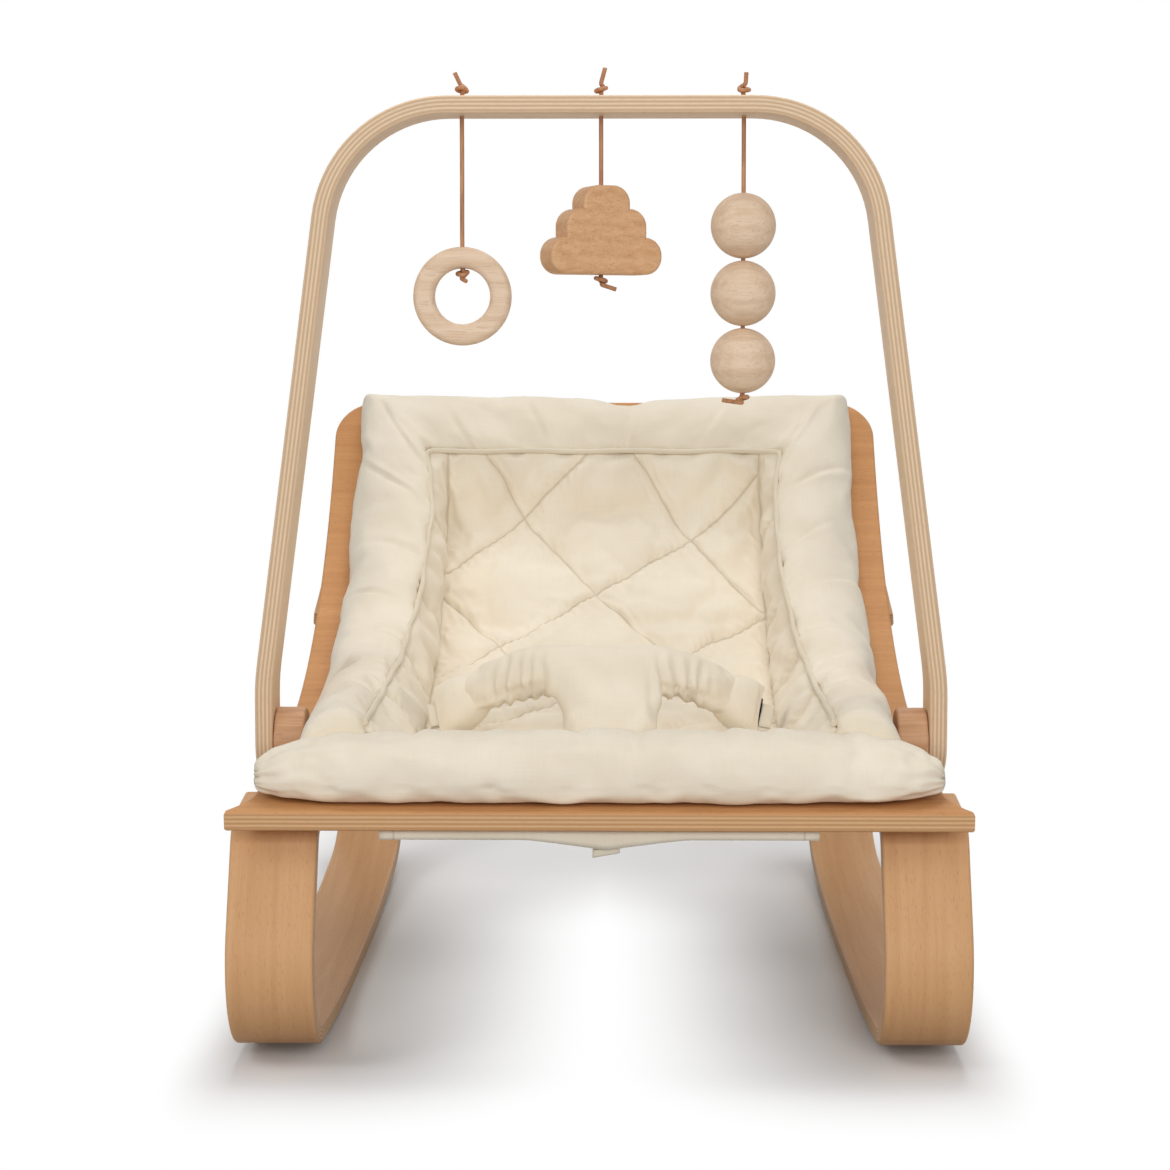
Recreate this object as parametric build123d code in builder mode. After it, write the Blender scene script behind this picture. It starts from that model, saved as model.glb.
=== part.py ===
from build123d import *
import math
import os

# A wooden baby rocker: a bent plywood seat ring on two plywood runner bands,
# a quilted cushion with a padded harness, and a clip-on bow with hanging toys.
# Millimetres. X runs across, +Y to the back, +Z up. The origin is on the floor
# under the middle. A depth is counted back from the front bar's front face.

# Seat frame, one bent sheet of plywood with an opening
FRAME_PLY = 11.0
BAR_TOP_HEIGHT = 147.5
SEAT_SLOPE = 6.0
SEAT_RUN = 172.0
BACK_BEND_RADIUS = 420.0
BACK_SLOPE = 52.0
BACK_RUN = 49.0
FRONT_HALF_WIDTH = 205.0
RAIL_HALF_WIDTH = 193.0
EAR_LENGTH = 45.0
EAR_TIP = 5.0
RAIL_WIDTH = 50.0
FRONT_BAR_DEPTH = 60.0
TOP_BAR_DEPTH = 55.0
TOP_CORNER_RADIUS = 30.0
OPENING_RADIUS = 30.0
PLY_EDGE_ROUND = 2.0

# Runner bands
RUNNER_PLY = 10.5
RUNNER_WIDTH = 48.5
FRONT_FLANGE_END = 82.0
BEND_FRONT = 19.0
BEND_RADIUS = 24.0
NOSE_FRONT = -4.0
NOSE_RADIUS = 52.0
FLOOR_RADIUS = 2000.0
LAND_START = 225.0
LAND_END = 305.0
LOOP_RADIUS = 145.0
REAR_FLANGE = 70.0
TAPER_FOOT = 165.0
TAPER_TOP = 262.0
REAR_HALF_WIDTH = 191.5

# Runner bolts and the threaded inserts in the frame
BOLT_SHANK = 6.0
BOLT_HOLE = 6.6
BOLT_HEAD = 11.0
BOLT_HEAD_HEIGHT = 3.4
BOLT_SOCKET = 4.0
BOLT_SOCKET_DEPTH = 2.0
BOLT_REACH = 7.0
BOLT_PITCH = 20.0
INSERT_OUTSIDE = 9.0
INSERT_LENGTH = 8.5
INSERT_SINK = 0.3
FRONT_BOLT_DEPTH = 64.0
REAR_BOLT_ALONG = 40.0

# Toy bow and the slotted pegs that clip on the rails
BOW_PLY = 10.5
BOW_DEPTH = 38.0
BOW_PLACE = 148.0
BOW_HEIGHT = 547.0
BOW_FLAT = 180.0
BOW_CORNER_RADIUS = 80.0
BOW_LEAN = 7.5
BOW_KNEE_RADIUS = 150.0
BOW_FOOT_HALF = 205.5
PEG_DIAMETER = 39.0
PEG_INNER_END = 176.5
PEG_AXIS_LIFT = 3.2
PEG_SLOT_PLAY = 0.3
PEG_TO_BOW = 0.3
SCREW_SHANK = 4.4
SCREW_PLAY = 0.05
SCREW_HEAD = 10.0
SCREW_HEAD_HEIGHT = 3.0
SCREW_RECESS = 3.4
SCREW_REACH = 17.0

# Hanging toys
CORD = 2.6
CORD_HOLE = 3.2
BOW_HOLE = 3.6
CORD_DROP = 1.6
KNOT = 8.4
KNOT_PLAY = 0.3
TAIL_LENGTH = 13.0
RING_PLACE = -82.0
CLOUD_PLACE = 0.0
BEAD_PLACE = 84.0
RING_OUTSIDE = 58.0
RING_HOLE = 33.0
RING_THICK = 15.0
RING_EDGE = 4.0
RING_TOP_DROP = 76.5
CLOUD_WIDTH = 71.0
CLOUD_HEIGHT = 52.0
CLOUD_THICK = 20.0
CLOUD_TURN = 24.0
CLOUD_TOP_DROP = 40.8
CLOUD_EDGE = 2.0
BEAD = 38.5
BEAD_GAP = 1.2
BEAD_TOP_DROP = 44.8

# Cushion: four stuffed bolsters round a sunken quilted panel
SOFT_PLAY = 0.4
BOLSTER_HEIGHT = 38.0
BOLSTER_WAVE = 0.025
BOLSTER_DRAW_IN = 0.42
FRONT_BOLSTER_HALF = 30.0
FRONT_BOLSTER_PLACE = 38.0
FRONT_BOLSTER_HALF_LENGTH = 190.0
SIDE_BOLSTER_HALF = 23.0
SIDE_BOLSTER_PLACE = 149.0
TOP_BOLSTER_HALF = 27.0
TOP_MARGIN = 8.0
PANEL_HALF_WIDTH = 111.0
PANEL_THICK = 20.0
PANEL_EDGE_THICK = 9.0
PANEL_END_LIFT = 9.0
PANEL_SAG = 9.0
PANEL_PLAY = 1.2
QUILT_WIDTH = 2.4
QUILT_DEPTH = 3.0
QUILT_PITCH = 74.0
QUILT_ANGLES = (-46.0, 36.0)
QUILT_CROSSING = (-4.0, 360.0)
QUILT_COUNT = 4
GUSSET_THICK = 4.0
GUSSET_TOP_LIFT = 31.0
PIPING_RADIUS = 2.0
PIPING_LIFT = 33.6
PIPING_PLACE = 126.5
SLING_THICK = 1.6
SLING_HALF_WIDTH = 121.0
SLING_HEM = 6.0
TAB_WIDTH = 15.0
TAB_DROP = 8.0
TAB_THICK = 2.0
TAB_PLACE = 10.0

# Harness: a padded crotch post with two wings, straps and buckles
POST_HALF_WIDTH = 28.0
POST_THICK = 22.0
POST_LIFT = 8.6
POST_FOOT_ALONG = 97.0
POST_MIDDLE = (105.0, 181.0, 68.0)
POST_TOP = (120.2, 194.5, 60.0)
WAIST_CENTRE = (0.0, 128.0, 208.0)
WAIST_SHOULDER = (35.0, 132.0, 208.0)
WAIST_ELBOW = (62.0, 144.0, 200.0)
WAIST_END = (88.0, 157.0, 184.5)
WAIST_LEAN = 60.0
WAIST_HALF_HEIGHT = 15.0
WAIST_THICK = 22.0
STRAP_WIDTH = 18.0
STRAP_THICK = 2.0
STRAP_LENGTH = 6.0
BUCKLE_LENGTH = 8.0
BUCKLE_WIDTH = 20.0
BUCKLE_THICK = 7.0
BUCKLE_CORNER = 2.0


def sin(degrees):
    return math.sin(math.radians(degrees))


def cos(degrees):
    return math.cos(math.radians(degrees))


def tan(degrees):
    return math.tan(math.radians(degrees))


def angle_of(start, end):
    """Heading in degrees from one depth and height to another."""
    return math.degrees(math.atan2(end[1] - start[1], end[0] - start[0]))


def step(start, heading, length):
    """The place reached from start along a heading."""
    return (start[0] + length * cos(heading), start[1] + length * sin(heading))


# Seat sheet in side view: straight seat, bend, straight back
BEND_START = SEAT_RUN
BEND_LENGTH = math.radians(BACK_SLOPE - SEAT_SLOPE) * BACK_BEND_RADIUS
BEND_END = BEND_START + BEND_LENGTH
SHEET_LENGTH = BEND_END + BACK_RUN
SHEET_FRONT = (0.0, BAR_TOP_HEIGHT)
BEND_CENTRE = step(step(SHEET_FRONT, SEAT_SLOPE, SEAT_RUN), SEAT_SLOPE + 90, BACK_BEND_RADIUS)
OPENING_HALF_WIDTH = RAIL_HALF_WIDTH - RAIL_WIDTH
OPENING_END = SHEET_LENGTH - TOP_BAR_DEPTH


def sheet_slope(along):
    """Slope of the sheet in degrees at a length along its top surface."""
    into_bend = min(max(along - BEND_START, 0.0), BEND_LENGTH)
    return SEAT_SLOPE + math.degrees(into_bend / BACK_BEND_RADIUS)


def sheet_point(along, lift=0.0):
    """Depth and height at a length along the sheet, lifted square off its top."""
    slope = sheet_slope(along)
    if along <= BEND_START:
        base = step(SHEET_FRONT, SEAT_SLOPE, along)
    else:
        base = step(BEND_CENTRE, slope - 90, BACK_BEND_RADIUS)
        base = step(base, slope, max(along - BEND_END, 0.0))
    return step(base, slope + 90, lift)


def underside(depth):
    """Height of the seat sheet's flat underside at a depth."""
    return BAR_TOP_HEIGHT - FRAME_PLY / cos(SEAT_SLOPE) + depth * tan(SEAT_SLOPE)


def circles_meet(centre_a, radius_a, centre_b, radius_b):
    """The rear one of the two points where two circles meet."""
    apart = math.dist(centre_a, centre_b)
    along = (apart**2 + radius_a**2 - radius_b**2) / (2 * apart)
    aside = math.sqrt(radius_a**2 - along**2)
    heading = angle_of(centre_a, centre_b)
    middle = step(centre_a, heading, along)
    sides = [step(middle, heading + turn, aside) for turn in (90, -90)]
    return max(sides)


# Runner in side view: circles that touch each other in turn
UNDER_RADIUS = BACK_BEND_RADIUS + FRAME_PLY
BEND_DEPTH = BEND_FRONT + BEND_RADIUS
CURL_CENTRE = (BEND_DEPTH, underside(BEND_DEPTH) - BEND_RADIUS / cos(SEAT_SLOPE))
FLOOR_FRONT_CENTRE = (LAND_START, FLOOR_RADIUS)
FLOOR_REAR_CENTRE = (LAND_END, FLOOR_RADIUS)
NOSE_DEPTH = NOSE_FRONT + NOSE_RADIUS
NOSE_LIFT = math.sqrt((FLOOR_RADIUS - NOSE_RADIUS) ** 2 - (LAND_START - NOSE_DEPTH) ** 2)
NOSE_CENTRE = (NOSE_DEPTH, FLOOR_RADIUS - NOSE_LIFT)
LOOP_CENTRE = circles_meet(
    FLOOR_REAR_CENTRE, FLOOR_RADIUS - LOOP_RADIUS, BEND_CENTRE, UNDER_RADIUS + LOOP_RADIUS
)
LEG_SPREAD = math.acos((BEND_RADIUS - NOSE_RADIUS) / math.dist(CURL_CENTRE, NOSE_CENTRE))
LEG_NORMAL = 360 + angle_of(CURL_CENTRE, NOSE_CENTRE) - math.degrees(LEG_SPREAD)
NOSE_END = 360 + angle_of(FLOOR_FRONT_CENTRE, NOSE_CENTRE)
LOOP_START = angle_of(FLOOR_REAR_CENTRE, LOOP_CENTRE)
LOOP_END = 180 + angle_of(BEND_CENTRE, LOOP_CENTRE)
REAR_FLANGE_START = angle_of(BEND_CENTRE, LOOP_CENTRE)
REAR_FLANGE_TURN = math.degrees(REAR_FLANGE / UNDER_RADIUS)
REAR_END = LOOP_CENTRE[0] + LOOP_RADIUS
MIDDLE_DEPTH = (NOSE_FRONT + REAR_END) / 2


def place(point):
    """Y and Z of a depth and height."""
    return (point[0] - MIDDLE_DEPTH, point[1])


def spot(x, point):
    """Position of a depth and height at a place across."""
    return (x, point[0] - MIDDLE_DEPTH, point[1])


def sheet_side_plane(along, x, lift=0.0):
    """Plane square to the sheet's length: x across, y off the sheet."""
    slope = sheet_slope(along)
    return Plane(
        origin=spot(x, sheet_point(along, lift)),
        x_dir=(1, 0, 0),
        z_dir=(0, -cos(slope), -sin(slope)),
    )


def sheet_cross_plane(along, x, lift=0.0):
    """Plane square to X: x along the sheet, y off the sheet."""
    slope = sheet_slope(along)
    return Plane(
        origin=spot(x, sheet_point(along, lift)),
        x_dir=(0, cos(slope), sin(slope)),
        z_dir=(1, 0, 0),
    )


def save(piece, name):
    """Label a finished sub-part and write it."""
    piece.part.label = name
    export_step(piece.part, "parts/" + name + ".step")


os.makedirs("parts", exist_ok=True)


# Seat frame
def sheet_line(start, end, lift):
    """Line or arcs along the sheet at a lift, drawn in the open line builder."""
    stops = [start] + [stop for stop in (BEND_START, BEND_END) if start < stop < end] + [end]
    for low, high in zip(stops, stops[1:]):
        if low >= BEND_START and high <= BEND_END:
            turn = sheet_slope(high) - sheet_slope(low)
            first = sheet_slope(low) - 90
            CenterArc(place(BEND_CENTRE), BACK_BEND_RADIUS - lift, first, turn)
        else:
            Line(place(sheet_point(low, lift)), place(sheet_point(high, lift)))


def sheet_slice(start, end, low, high):
    """Closed side outline of a stretch of the sheet between two lifts."""
    sheet_line(start, end, low)
    sheet_line(start, end, high)
    for along in (start, end):
        Line(place(sheet_point(along, low)), place(sheet_point(along, high)))


INSERT_SPOTS = []
for x_middle in (-1, 1):
    bolt_row = x_middle * (RAIL_HALF_WIDTH + FRONT_HALF_WIDTH - RUNNER_WIDTH) / 2
    for x_bolt in (bolt_row - BOLT_PITCH / 2, bolt_row + BOLT_PITCH / 2):
        front_along = FRONT_BOLT_DEPTH / cos(SEAT_SLOPE)
        rear_angle = REAR_FLANGE_START - math.degrees(REAR_BOLT_ALONG / UNDER_RADIUS)
        rear_along = BEND_START + math.radians(rear_angle + 90 - SEAT_SLOPE) * BACK_BEND_RADIUS
        INSERT_SPOTS.append(("front", x_bolt, front_along))
        INSERT_SPOTS.append(("rear", x_bolt, rear_along))


def bolt_plane(x, along):
    """Plane on the sheet's underside, with z pointing into the sheet."""
    slope = sheet_slope(along)
    return Plane(
        origin=spot(x, sheet_point(along, -FRAME_PLY)),
        x_dir=(1, 0, 0),
        z_dir=(0, -sin(slope), cos(slope)),
    )


def is_outline(edge):
    """True for an edge of the sheet's outline, false for a seam inside its faces."""
    across = edge.geom_type == GeomType.LINE and abs((edge % 0.5).X) > 0.999
    return not (across and abs(edge.center().X) > 1)


with BuildPart() as seat_frame:
    with BuildSketch(Plane.YZ):
        with BuildLine():
            sheet_slice(0, SHEET_LENGTH, -FRAME_PLY, 0)
        make_face()
    extrude(amount=FRONT_HALF_WIDTH, both=True)
    # The ears flare in a hollow curve from the rails to the front bar
    with BuildSketch(Plane.XY):
        with BuildLine():
            ear = TangentArc(
                (RAIL_HALF_WIDTH, EAR_LENGTH - MIDDLE_DEPTH),
                (FRONT_HALF_WIDTH, EAR_TIP - MIDDLE_DEPTH),
                tangent=(0, -1),
            )
            Polyline(
                ear @ 1,
                (2 * FRONT_HALF_WIDTH, EAR_TIP - MIDDLE_DEPTH),
                (2 * FRONT_HALF_WIDTH, SHEET_LENGTH),
                (RAIL_HALF_WIDTH, SHEET_LENGTH),
                ear @ 0,
            )
        make_face()
        mirror(about=Plane.YZ)
    extrude(amount=2 * SHEET_LENGTH, mode=Mode.SUBTRACT)
    top_end = seat_frame.faces().sort_by(Axis.Z)[-1]
    fillet(top_end.edges().filter_by(Axis.X, reverse=True), TOP_CORNER_RADIUS)
    with BuildSketch(Plane.YZ):
        with BuildLine():
            sheet_slice(FRONT_BAR_DEPTH, OPENING_END, -2 * FRAME_PLY, FRAME_PLY)
        make_face()
    extrude(amount=OPENING_HALF_WIDTH, both=True, mode=Mode.SUBTRACT)
    opening_corners = seat_frame.edges().filter_by(
        lambda edge: abs(abs(edge.center().X) - OPENING_HALF_WIDTH) < 0.1
        and abs(edge.length - FRAME_PLY) < 0.1
    )
    fillet(opening_corners, OPENING_RADIUS)
    through = seat_frame.edges().filter_by(lambda edge: abs(edge.length - FRAME_PLY) < 0.1)
    outline = seat_frame.edges().filter_by(is_outline)
    fillet([edge for edge in outline if edge not in through], PLY_EDGE_ROUND)
    for end_name, x_bolt, along in INSERT_SPOTS:
        with BuildSketch(bolt_plane(x_bolt, along)):
            Circle(INSERT_OUTSIDE / 2)
        extrude(amount=INSERT_LENGTH, mode=Mode.SUBTRACT)
save(seat_frame, "seat_frame")


# Runner bands
def runner_line(inset):
    """Side line of a runner at an inset from its outer face."""
    flange = step((FRONT_FLANGE_END, underside(FRONT_FLANGE_END)), SEAT_SLOPE - 90, inset)
    curl = BEND_RADIUS - inset
    nose = NOSE_RADIUS - inset
    floor = FLOOR_RADIUS - inset
    Line(place(flange), place(step(CURL_CENTRE, 90 + SEAT_SLOPE, curl)))
    CenterArc(place(CURL_CENTRE), curl, 90 + SEAT_SLOPE, LEG_NORMAL - 90 - SEAT_SLOPE)
    Line(place(step(CURL_CENTRE, LEG_NORMAL, curl)), place(step(NOSE_CENTRE, LEG_NORMAL, nose)))
    CenterArc(place(NOSE_CENTRE), nose, LEG_NORMAL, NOSE_END - LEG_NORMAL)
    CenterArc(place(FLOOR_FRONT_CENTRE), floor, NOSE_END, 270 - NOSE_END)
    Line(place((LAND_START, inset)), place((LAND_END, inset)))
    CenterArc(place(FLOOR_REAR_CENTRE), floor, -90, LOOP_START + 90)
    CenterArc(place(LOOP_CENTRE), LOOP_RADIUS - inset, LOOP_START, LOOP_END - LOOP_START)
    CenterArc(place(BEND_CENTRE), UNDER_RADIUS + inset, REAR_FLANGE_START, -REAR_FLANGE_TURN)


FLANGE_TIP = REAR_FLANGE_START - REAR_FLANGE_TURN
MOSTLY = 0.95


for side, x_inner in (("left", -FRONT_HALF_WIDTH), ("right", FRONT_HALF_WIDTH - RUNNER_WIDTH)):
    with BuildPart() as runner:
        with BuildSketch(Plane.YZ.offset(x_inner)):
            with BuildLine():
                runner_line(0)
                runner_line(RUNNER_PLY)
                front_tip = (FRONT_FLANGE_END, underside(FRONT_FLANGE_END))
                Line(place(front_tip), place(step(front_tip, SEAT_SLOPE - 90, RUNNER_PLY)))
                rear_tip = step(BEND_CENTRE, FLANGE_TIP, UNDER_RADIUS)
                Line(place(rear_tip), place(step(rear_tip, FLANGE_TIP, RUNNER_PLY)))
            make_face()
        extrude(amount=RUNNER_WIDTH)
        # The rear end narrows, so that it stays behind the rail
        outward = math.copysign(1, x_inner)
        with BuildSketch(Plane.XZ):
            with BuildLine():
                Polyline(
                    (outward * FRONT_HALF_WIDTH, TAPER_FOOT),
                    (outward * REAR_HALF_WIDTH, TAPER_TOP),
                    (outward * REAR_HALF_WIDTH, 2 * TAPER_TOP),
                    (outward * 2 * FRONT_HALF_WIDTH, 2 * TAPER_TOP),
                    (outward * 2 * FRONT_HALF_WIDTH, TAPER_FOOT),
                    close=True,
                )
            make_face()
        extrude(amount=SHEET_LENGTH, both=True, mode=Mode.SUBTRACT)
        sides = runner.faces().filter_by(lambda face: abs(face.normal_at().X) > MOSTLY)
        long_edges = sides.edges().filter_by(
            lambda edge: abs(edge.tangent_at(0.5).Y) < MOSTLY or edge.length > 2 * RUNNER_PLY
        )
        fillet(long_edges, PLY_EDGE_ROUND)
        for end_name, x_bolt, along in INSERT_SPOTS:
            if x_inner < x_bolt < x_inner + RUNNER_WIDTH:
                with BuildSketch(bolt_plane(x_bolt, along)):
                    Circle(BOLT_HOLE / 2)
                extrude(amount=2 * RUNNER_PLY, both=True, mode=Mode.SUBTRACT)
    save(runner, side + "_runner")

# Runner bolts: round heads under the bands, shanks up into the inserts
for wanted in ("front", "rear"):
    with BuildPart() as bolts:
        for end_name, x_bolt, along in INSERT_SPOTS:
            if end_name == wanted:
                seat = bolt_plane(x_bolt, along).offset(-RUNNER_PLY)
                with BuildSketch(seat):
                    Circle(BOLT_HEAD / 2)
                extrude(amount=-BOLT_HEAD_HEIGHT, taper=12)
                with BuildSketch(seat.offset(-BOLT_HEAD_HEIGHT)):
                    RegularPolygon(BOLT_SOCKET / 2, 6)
                extrude(amount=BOLT_SOCKET_DEPTH, mode=Mode.SUBTRACT)
                with BuildSketch(seat):
                    Circle(BOLT_SHANK / 2)
                extrude(amount=RUNNER_PLY + BOLT_REACH)
    save(bolts, wanted + "_runner_bolts")

with BuildPart() as inserts:
    for end_name, x_bolt, along in INSERT_SPOTS:
        with BuildSketch(bolt_plane(x_bolt, along).offset(INSERT_SINK)):
            Circle(INSERT_OUTSIDE / 2)
            Circle(BOLT_SHANK / 2, mode=Mode.SUBTRACT)
        extrude(amount=INSERT_LENGTH - INSERT_SINK)
save(inserts, "frame_inserts")

# Toy bow
PEG_AXIS_ALONG = BOW_PLACE / cos(SEAT_SLOPE)
PEG_AXIS = sheet_point(PEG_AXIS_ALONG, PEG_AXIS_LIFT)
BOW_CORNER_X = BOW_FLAT / 2
BOW_CORNER = (BOW_CORNER_X, BOW_HEIGHT - BOW_CORNER_RADIUS)
BOW_LEG_TOP = step(BOW_CORNER, BOW_LEAN, BOW_CORNER_RADIUS)
BOW_SPREAD = BOW_FOOT_HALF - BOW_KNEE_RADIUS + BOW_KNEE_RADIUS * cos(BOW_LEAN) - BOW_LEG_TOP[0]
BOW_LEG_RUN = BOW_SPREAD / sin(BOW_LEAN)
BOW_KNEE = step(step(BOW_LEG_TOP, BOW_LEAN - 90, BOW_LEG_RUN), BOW_LEAN + 180, BOW_KNEE_RADIUS)
BOW_FOOT = PEG_AXIS[1] - BOW_DEPTH / 2
BOW_BAR_UNDER = BOW_HEIGHT - BOW_PLY
BOW_INNER_FACE = BOW_FOOT_HALF - BOW_PLY
TOY_PLACES = {"ring": RING_PLACE, "cloud": CLOUD_PLACE, "bead": BEAD_PLACE}


def bow_line(inset):
    """Half of the bow's front line at an inset from its outer face."""
    Line((0, BOW_HEIGHT - inset), (BOW_CORNER_X, BOW_HEIGHT - inset))
    CenterArc(BOW_CORNER, BOW_CORNER_RADIUS - inset, 90, BOW_LEAN - 90)
    leg_top = step(BOW_LEG_TOP, BOW_LEAN + 180, inset)
    Line(leg_top, step(leg_top, BOW_LEAN - 90, BOW_LEG_RUN))
    CenterArc(BOW_KNEE, BOW_KNEE_RADIUS - inset, BOW_LEAN, -BOW_LEAN)
    Line((BOW_FOOT_HALF - inset, BOW_KNEE[1]), (BOW_FOOT_HALF - inset, BOW_FOOT))


with BuildPart() as arch_bow:
    with BuildSketch(Plane.XZ.offset(MIDDLE_DEPTH - PEG_AXIS[0])):
        with BuildLine():
            bow_line(0)
            bow_line(BOW_PLY)
            Line((0, BOW_HEIGHT), (0, BOW_HEIGHT - BOW_PLY))
            Line((BOW_FOOT_HALF, BOW_FOOT), (BOW_INNER_FACE, BOW_FOOT))
        make_face()
        mirror(about=Plane.YZ)
    extrude(amount=BOW_DEPTH / 2, both=True)
    foot_edges = arch_bow.edges().filter_by(Axis.X).group_by(Axis.Z)[0]
    fillet(foot_edges, BOW_DEPTH / 2 - 0.05)
    fillet(arch_bow.faces().filter_by(Axis.Y).edges(), PLY_EDGE_ROUND)
    for x_hole in TOY_PLACES.values():
        with BuildSketch(Plane.XY.offset(BOW_HEIGHT)):
            with Locations((x_hole, PEG_AXIS[0] - MIDDLE_DEPTH)):
                Circle(BOW_HOLE / 2)
        extrude(amount=-2 * BOW_PLY, mode=Mode.SUBTRACT)
    for turn in (1, -1):
        outer = Plane(origin=spot(turn * BOW_FOOT_HALF, PEG_AXIS), z_dir=(-turn, 0, 0))
        with BuildSketch(outer):
            Circle(SCREW_SHANK / 2 + SCREW_PLAY)
        extrude(amount=2 * BOW_PLY, mode=Mode.SUBTRACT)
        with BuildSketch(outer):
            Circle(SCREW_HEAD / 2 + PEG_TO_BOW)
        extrude(amount=SCREW_RECESS, mode=Mode.SUBTRACT)
save(arch_bow, "arch_bow")

# Slotted pegs on the rails, and the screws that the bow turns on
SLOT_END = RAIL_HALF_WIDTH + PEG_SLOT_PLAY
PEG_LENGTH = BOW_INNER_FACE - PEG_TO_BOW - PEG_INNER_END
SLOT_HEIGHT = FRAME_PLY + 2 * PEG_SLOT_PLAY
SCREW_TOP = BOW_FOOT_HALF - SCREW_RECESS + PEG_TO_BOW
for side, turn in (("left", -1), ("right", 1)):
    inner = Plane(origin=spot(turn * PEG_INNER_END, PEG_AXIS), z_dir=(turn, 0, 0))
    rail = sheet_cross_plane(PEG_AXIS_ALONG, 0, -FRAME_PLY / 2)
    with BuildPart() as peg:
        with BuildSketch(inner):
            Circle(PEG_DIAMETER / 2)
        extrude(amount=PEG_LENGTH)
        fillet(peg.edges().filter_by(GeomType.CIRCLE), PLY_EDGE_ROUND)
        with BuildSketch(rail):
            Rectangle(2 * PEG_DIAMETER, SLOT_HEIGHT)
        extrude(amount=turn * SLOT_END, mode=Mode.SUBTRACT)
        with BuildSketch(inner.offset(PEG_LENGTH)):
            Circle(SCREW_SHANK / 2 + SCREW_PLAY)
        extrude(amount=-SCREW_REACH - PEG_TO_BOW, mode=Mode.SUBTRACT)
    save(peg, side + "_clip_peg")

with BuildPart() as screws:
    for turn in (1, -1):
        head = Plane(origin=spot(turn * SCREW_TOP, PEG_AXIS), z_dir=(turn, 0, 0))
        with BuildSketch(head):
            Circle(SCREW_HEAD / 2)
        extrude(amount=SCREW_HEAD_HEIGHT)
        with BuildSketch(head.offset(SCREW_HEAD_HEIGHT)):
            RegularPolygon(BOLT_SOCKET / 2, 6)
        extrude(amount=-BOLT_SOCKET_DEPTH, mode=Mode.SUBTRACT)
        with BuildSketch(head):
            Circle(SCREW_SHANK / 2)
        extrude(amount=PEG_LENGTH + PEG_INNER_END + PEG_TO_BOW - SCREW_TOP - SCREW_REACH)
save(screws, "bow_screws")

# Toy cords with their knots: the cord hangs from a knot on top of the bow
TOY_Y = PEG_AXIS[0] - MIDDLE_DEPTH
PIVOT_HEIGHT = BOW_BAR_UNDER - CORD_DROP
RING_TOP = BOW_BAR_UNDER - RING_TOP_DROP
CLOUD_TOP = BOW_BAR_UNDER - CLOUD_TOP_DROP
BEAD_TOPS = [BOW_BAR_UNDER - BEAD_TOP_DROP - index * (BEAD + BEAD_GAP) for index in range(3)]
KNOT_TOPS = {
    "ring": RING_TOP - (RING_OUTSIDE - RING_HOLE) / 2 - KNOT_PLAY,
    "cloud": CLOUD_TOP - CLOUD_HEIGHT - KNOT_PLAY,
    "bead": BEAD_TOPS[-1] - BEAD - KNOT_PLAY,
}
TOP_TAILS = {"ring": (-0.45, 0.1, 1), "cloud": (0.25, 0.1, 1), "bead": (0.15, -0.1, 1)}
LOW_TAILS = {"ring": (0.9, -0.5, -0.9), "cloud": (1, -0.4, -0.8), "bead": (-1, -0.4, -0.15)}

for toy, x_toy in TOY_PLACES.items():
    axis_spot = (x_toy, TOY_Y)
    knot_low = KNOT_TOPS[toy]
    with BuildPart() as top_knot:
        with BuildSketch(Plane((x_toy, TOY_Y, BOW_BAR_UNDER))):
            Circle(CORD / 2)
        extrude(amount=BOW_PLY + KNOT / 3)
        with Locations((x_toy, TOY_Y, BOW_HEIGHT + KNOT / 3)):
            Sphere(KNOT / 2)
        with BuildSketch(Plane((x_toy, TOY_Y, BOW_HEIGHT + KNOT / 3), z_dir=TOP_TAILS[toy])):
            Circle(CORD / 2)
        extrude(amount=TAIL_LENGTH)
        with BuildSketch(Plane((x_toy, TOY_Y, BOW_HEIGHT + KNOT_PLAY))):
            Circle(KNOT)
            Circle(CORD / 2, mode=Mode.SUBTRACT)
        extrude(amount=-BOW_PLY / 2, mode=Mode.SUBTRACT)
    save(top_knot, toy + "_top_knot")

    with BuildPart() as cord:
        with BuildSketch(Plane((x_toy, TOY_Y, knot_low))):
            Circle(CORD / 2)
        extrude(amount=PIVOT_HEIGHT - knot_low)
        with Locations((x_toy, TOY_Y, PIVOT_HEIGHT)):
            Sphere(CORD / 2)
    save(cord, toy + "_cord")

    with BuildPart() as low_knot:
        with Locations((x_toy, TOY_Y, knot_low - KNOT / 3)):
            Sphere(KNOT / 2)
        with BuildSketch(Plane((x_toy, TOY_Y, knot_low - KNOT / 3), z_dir=LOW_TAILS[toy])):
            Circle(CORD / 2)
        extrude(amount=TAIL_LENGTH)
        with BuildSketch(Plane((x_toy, TOY_Y, knot_low))):
            Circle(2 * TAIL_LENGTH)
        extrude(amount=KNOT, mode=Mode.SUBTRACT)
    save(low_knot, toy + "_bottom_knot")

# Toys: a ring, a cloud and three beads, each bored for its cord
with BuildPart() as wooden_ring:
    with BuildSketch(Plane((RING_PLACE, TOY_Y, RING_TOP - RING_OUTSIDE / 2), z_dir=(0, -1, 0))):
        Circle(RING_OUTSIDE / 2)
        Circle(RING_HOLE / 2, mode=Mode.SUBTRACT)
    extrude(amount=RING_THICK / 2, both=True)
    fillet(wooden_ring.edges().filter_by(GeomType.CIRCLE), RING_EDGE)
    with BuildSketch(Plane((RING_PLACE, TOY_Y, RING_TOP - RING_OUTSIDE / 2))):
        Circle(CORD_HOLE / 2)
    extrude(amount=RING_OUTSIDE, mode=Mode.SUBTRACT)
save(wooden_ring, "wooden_ring")

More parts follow.
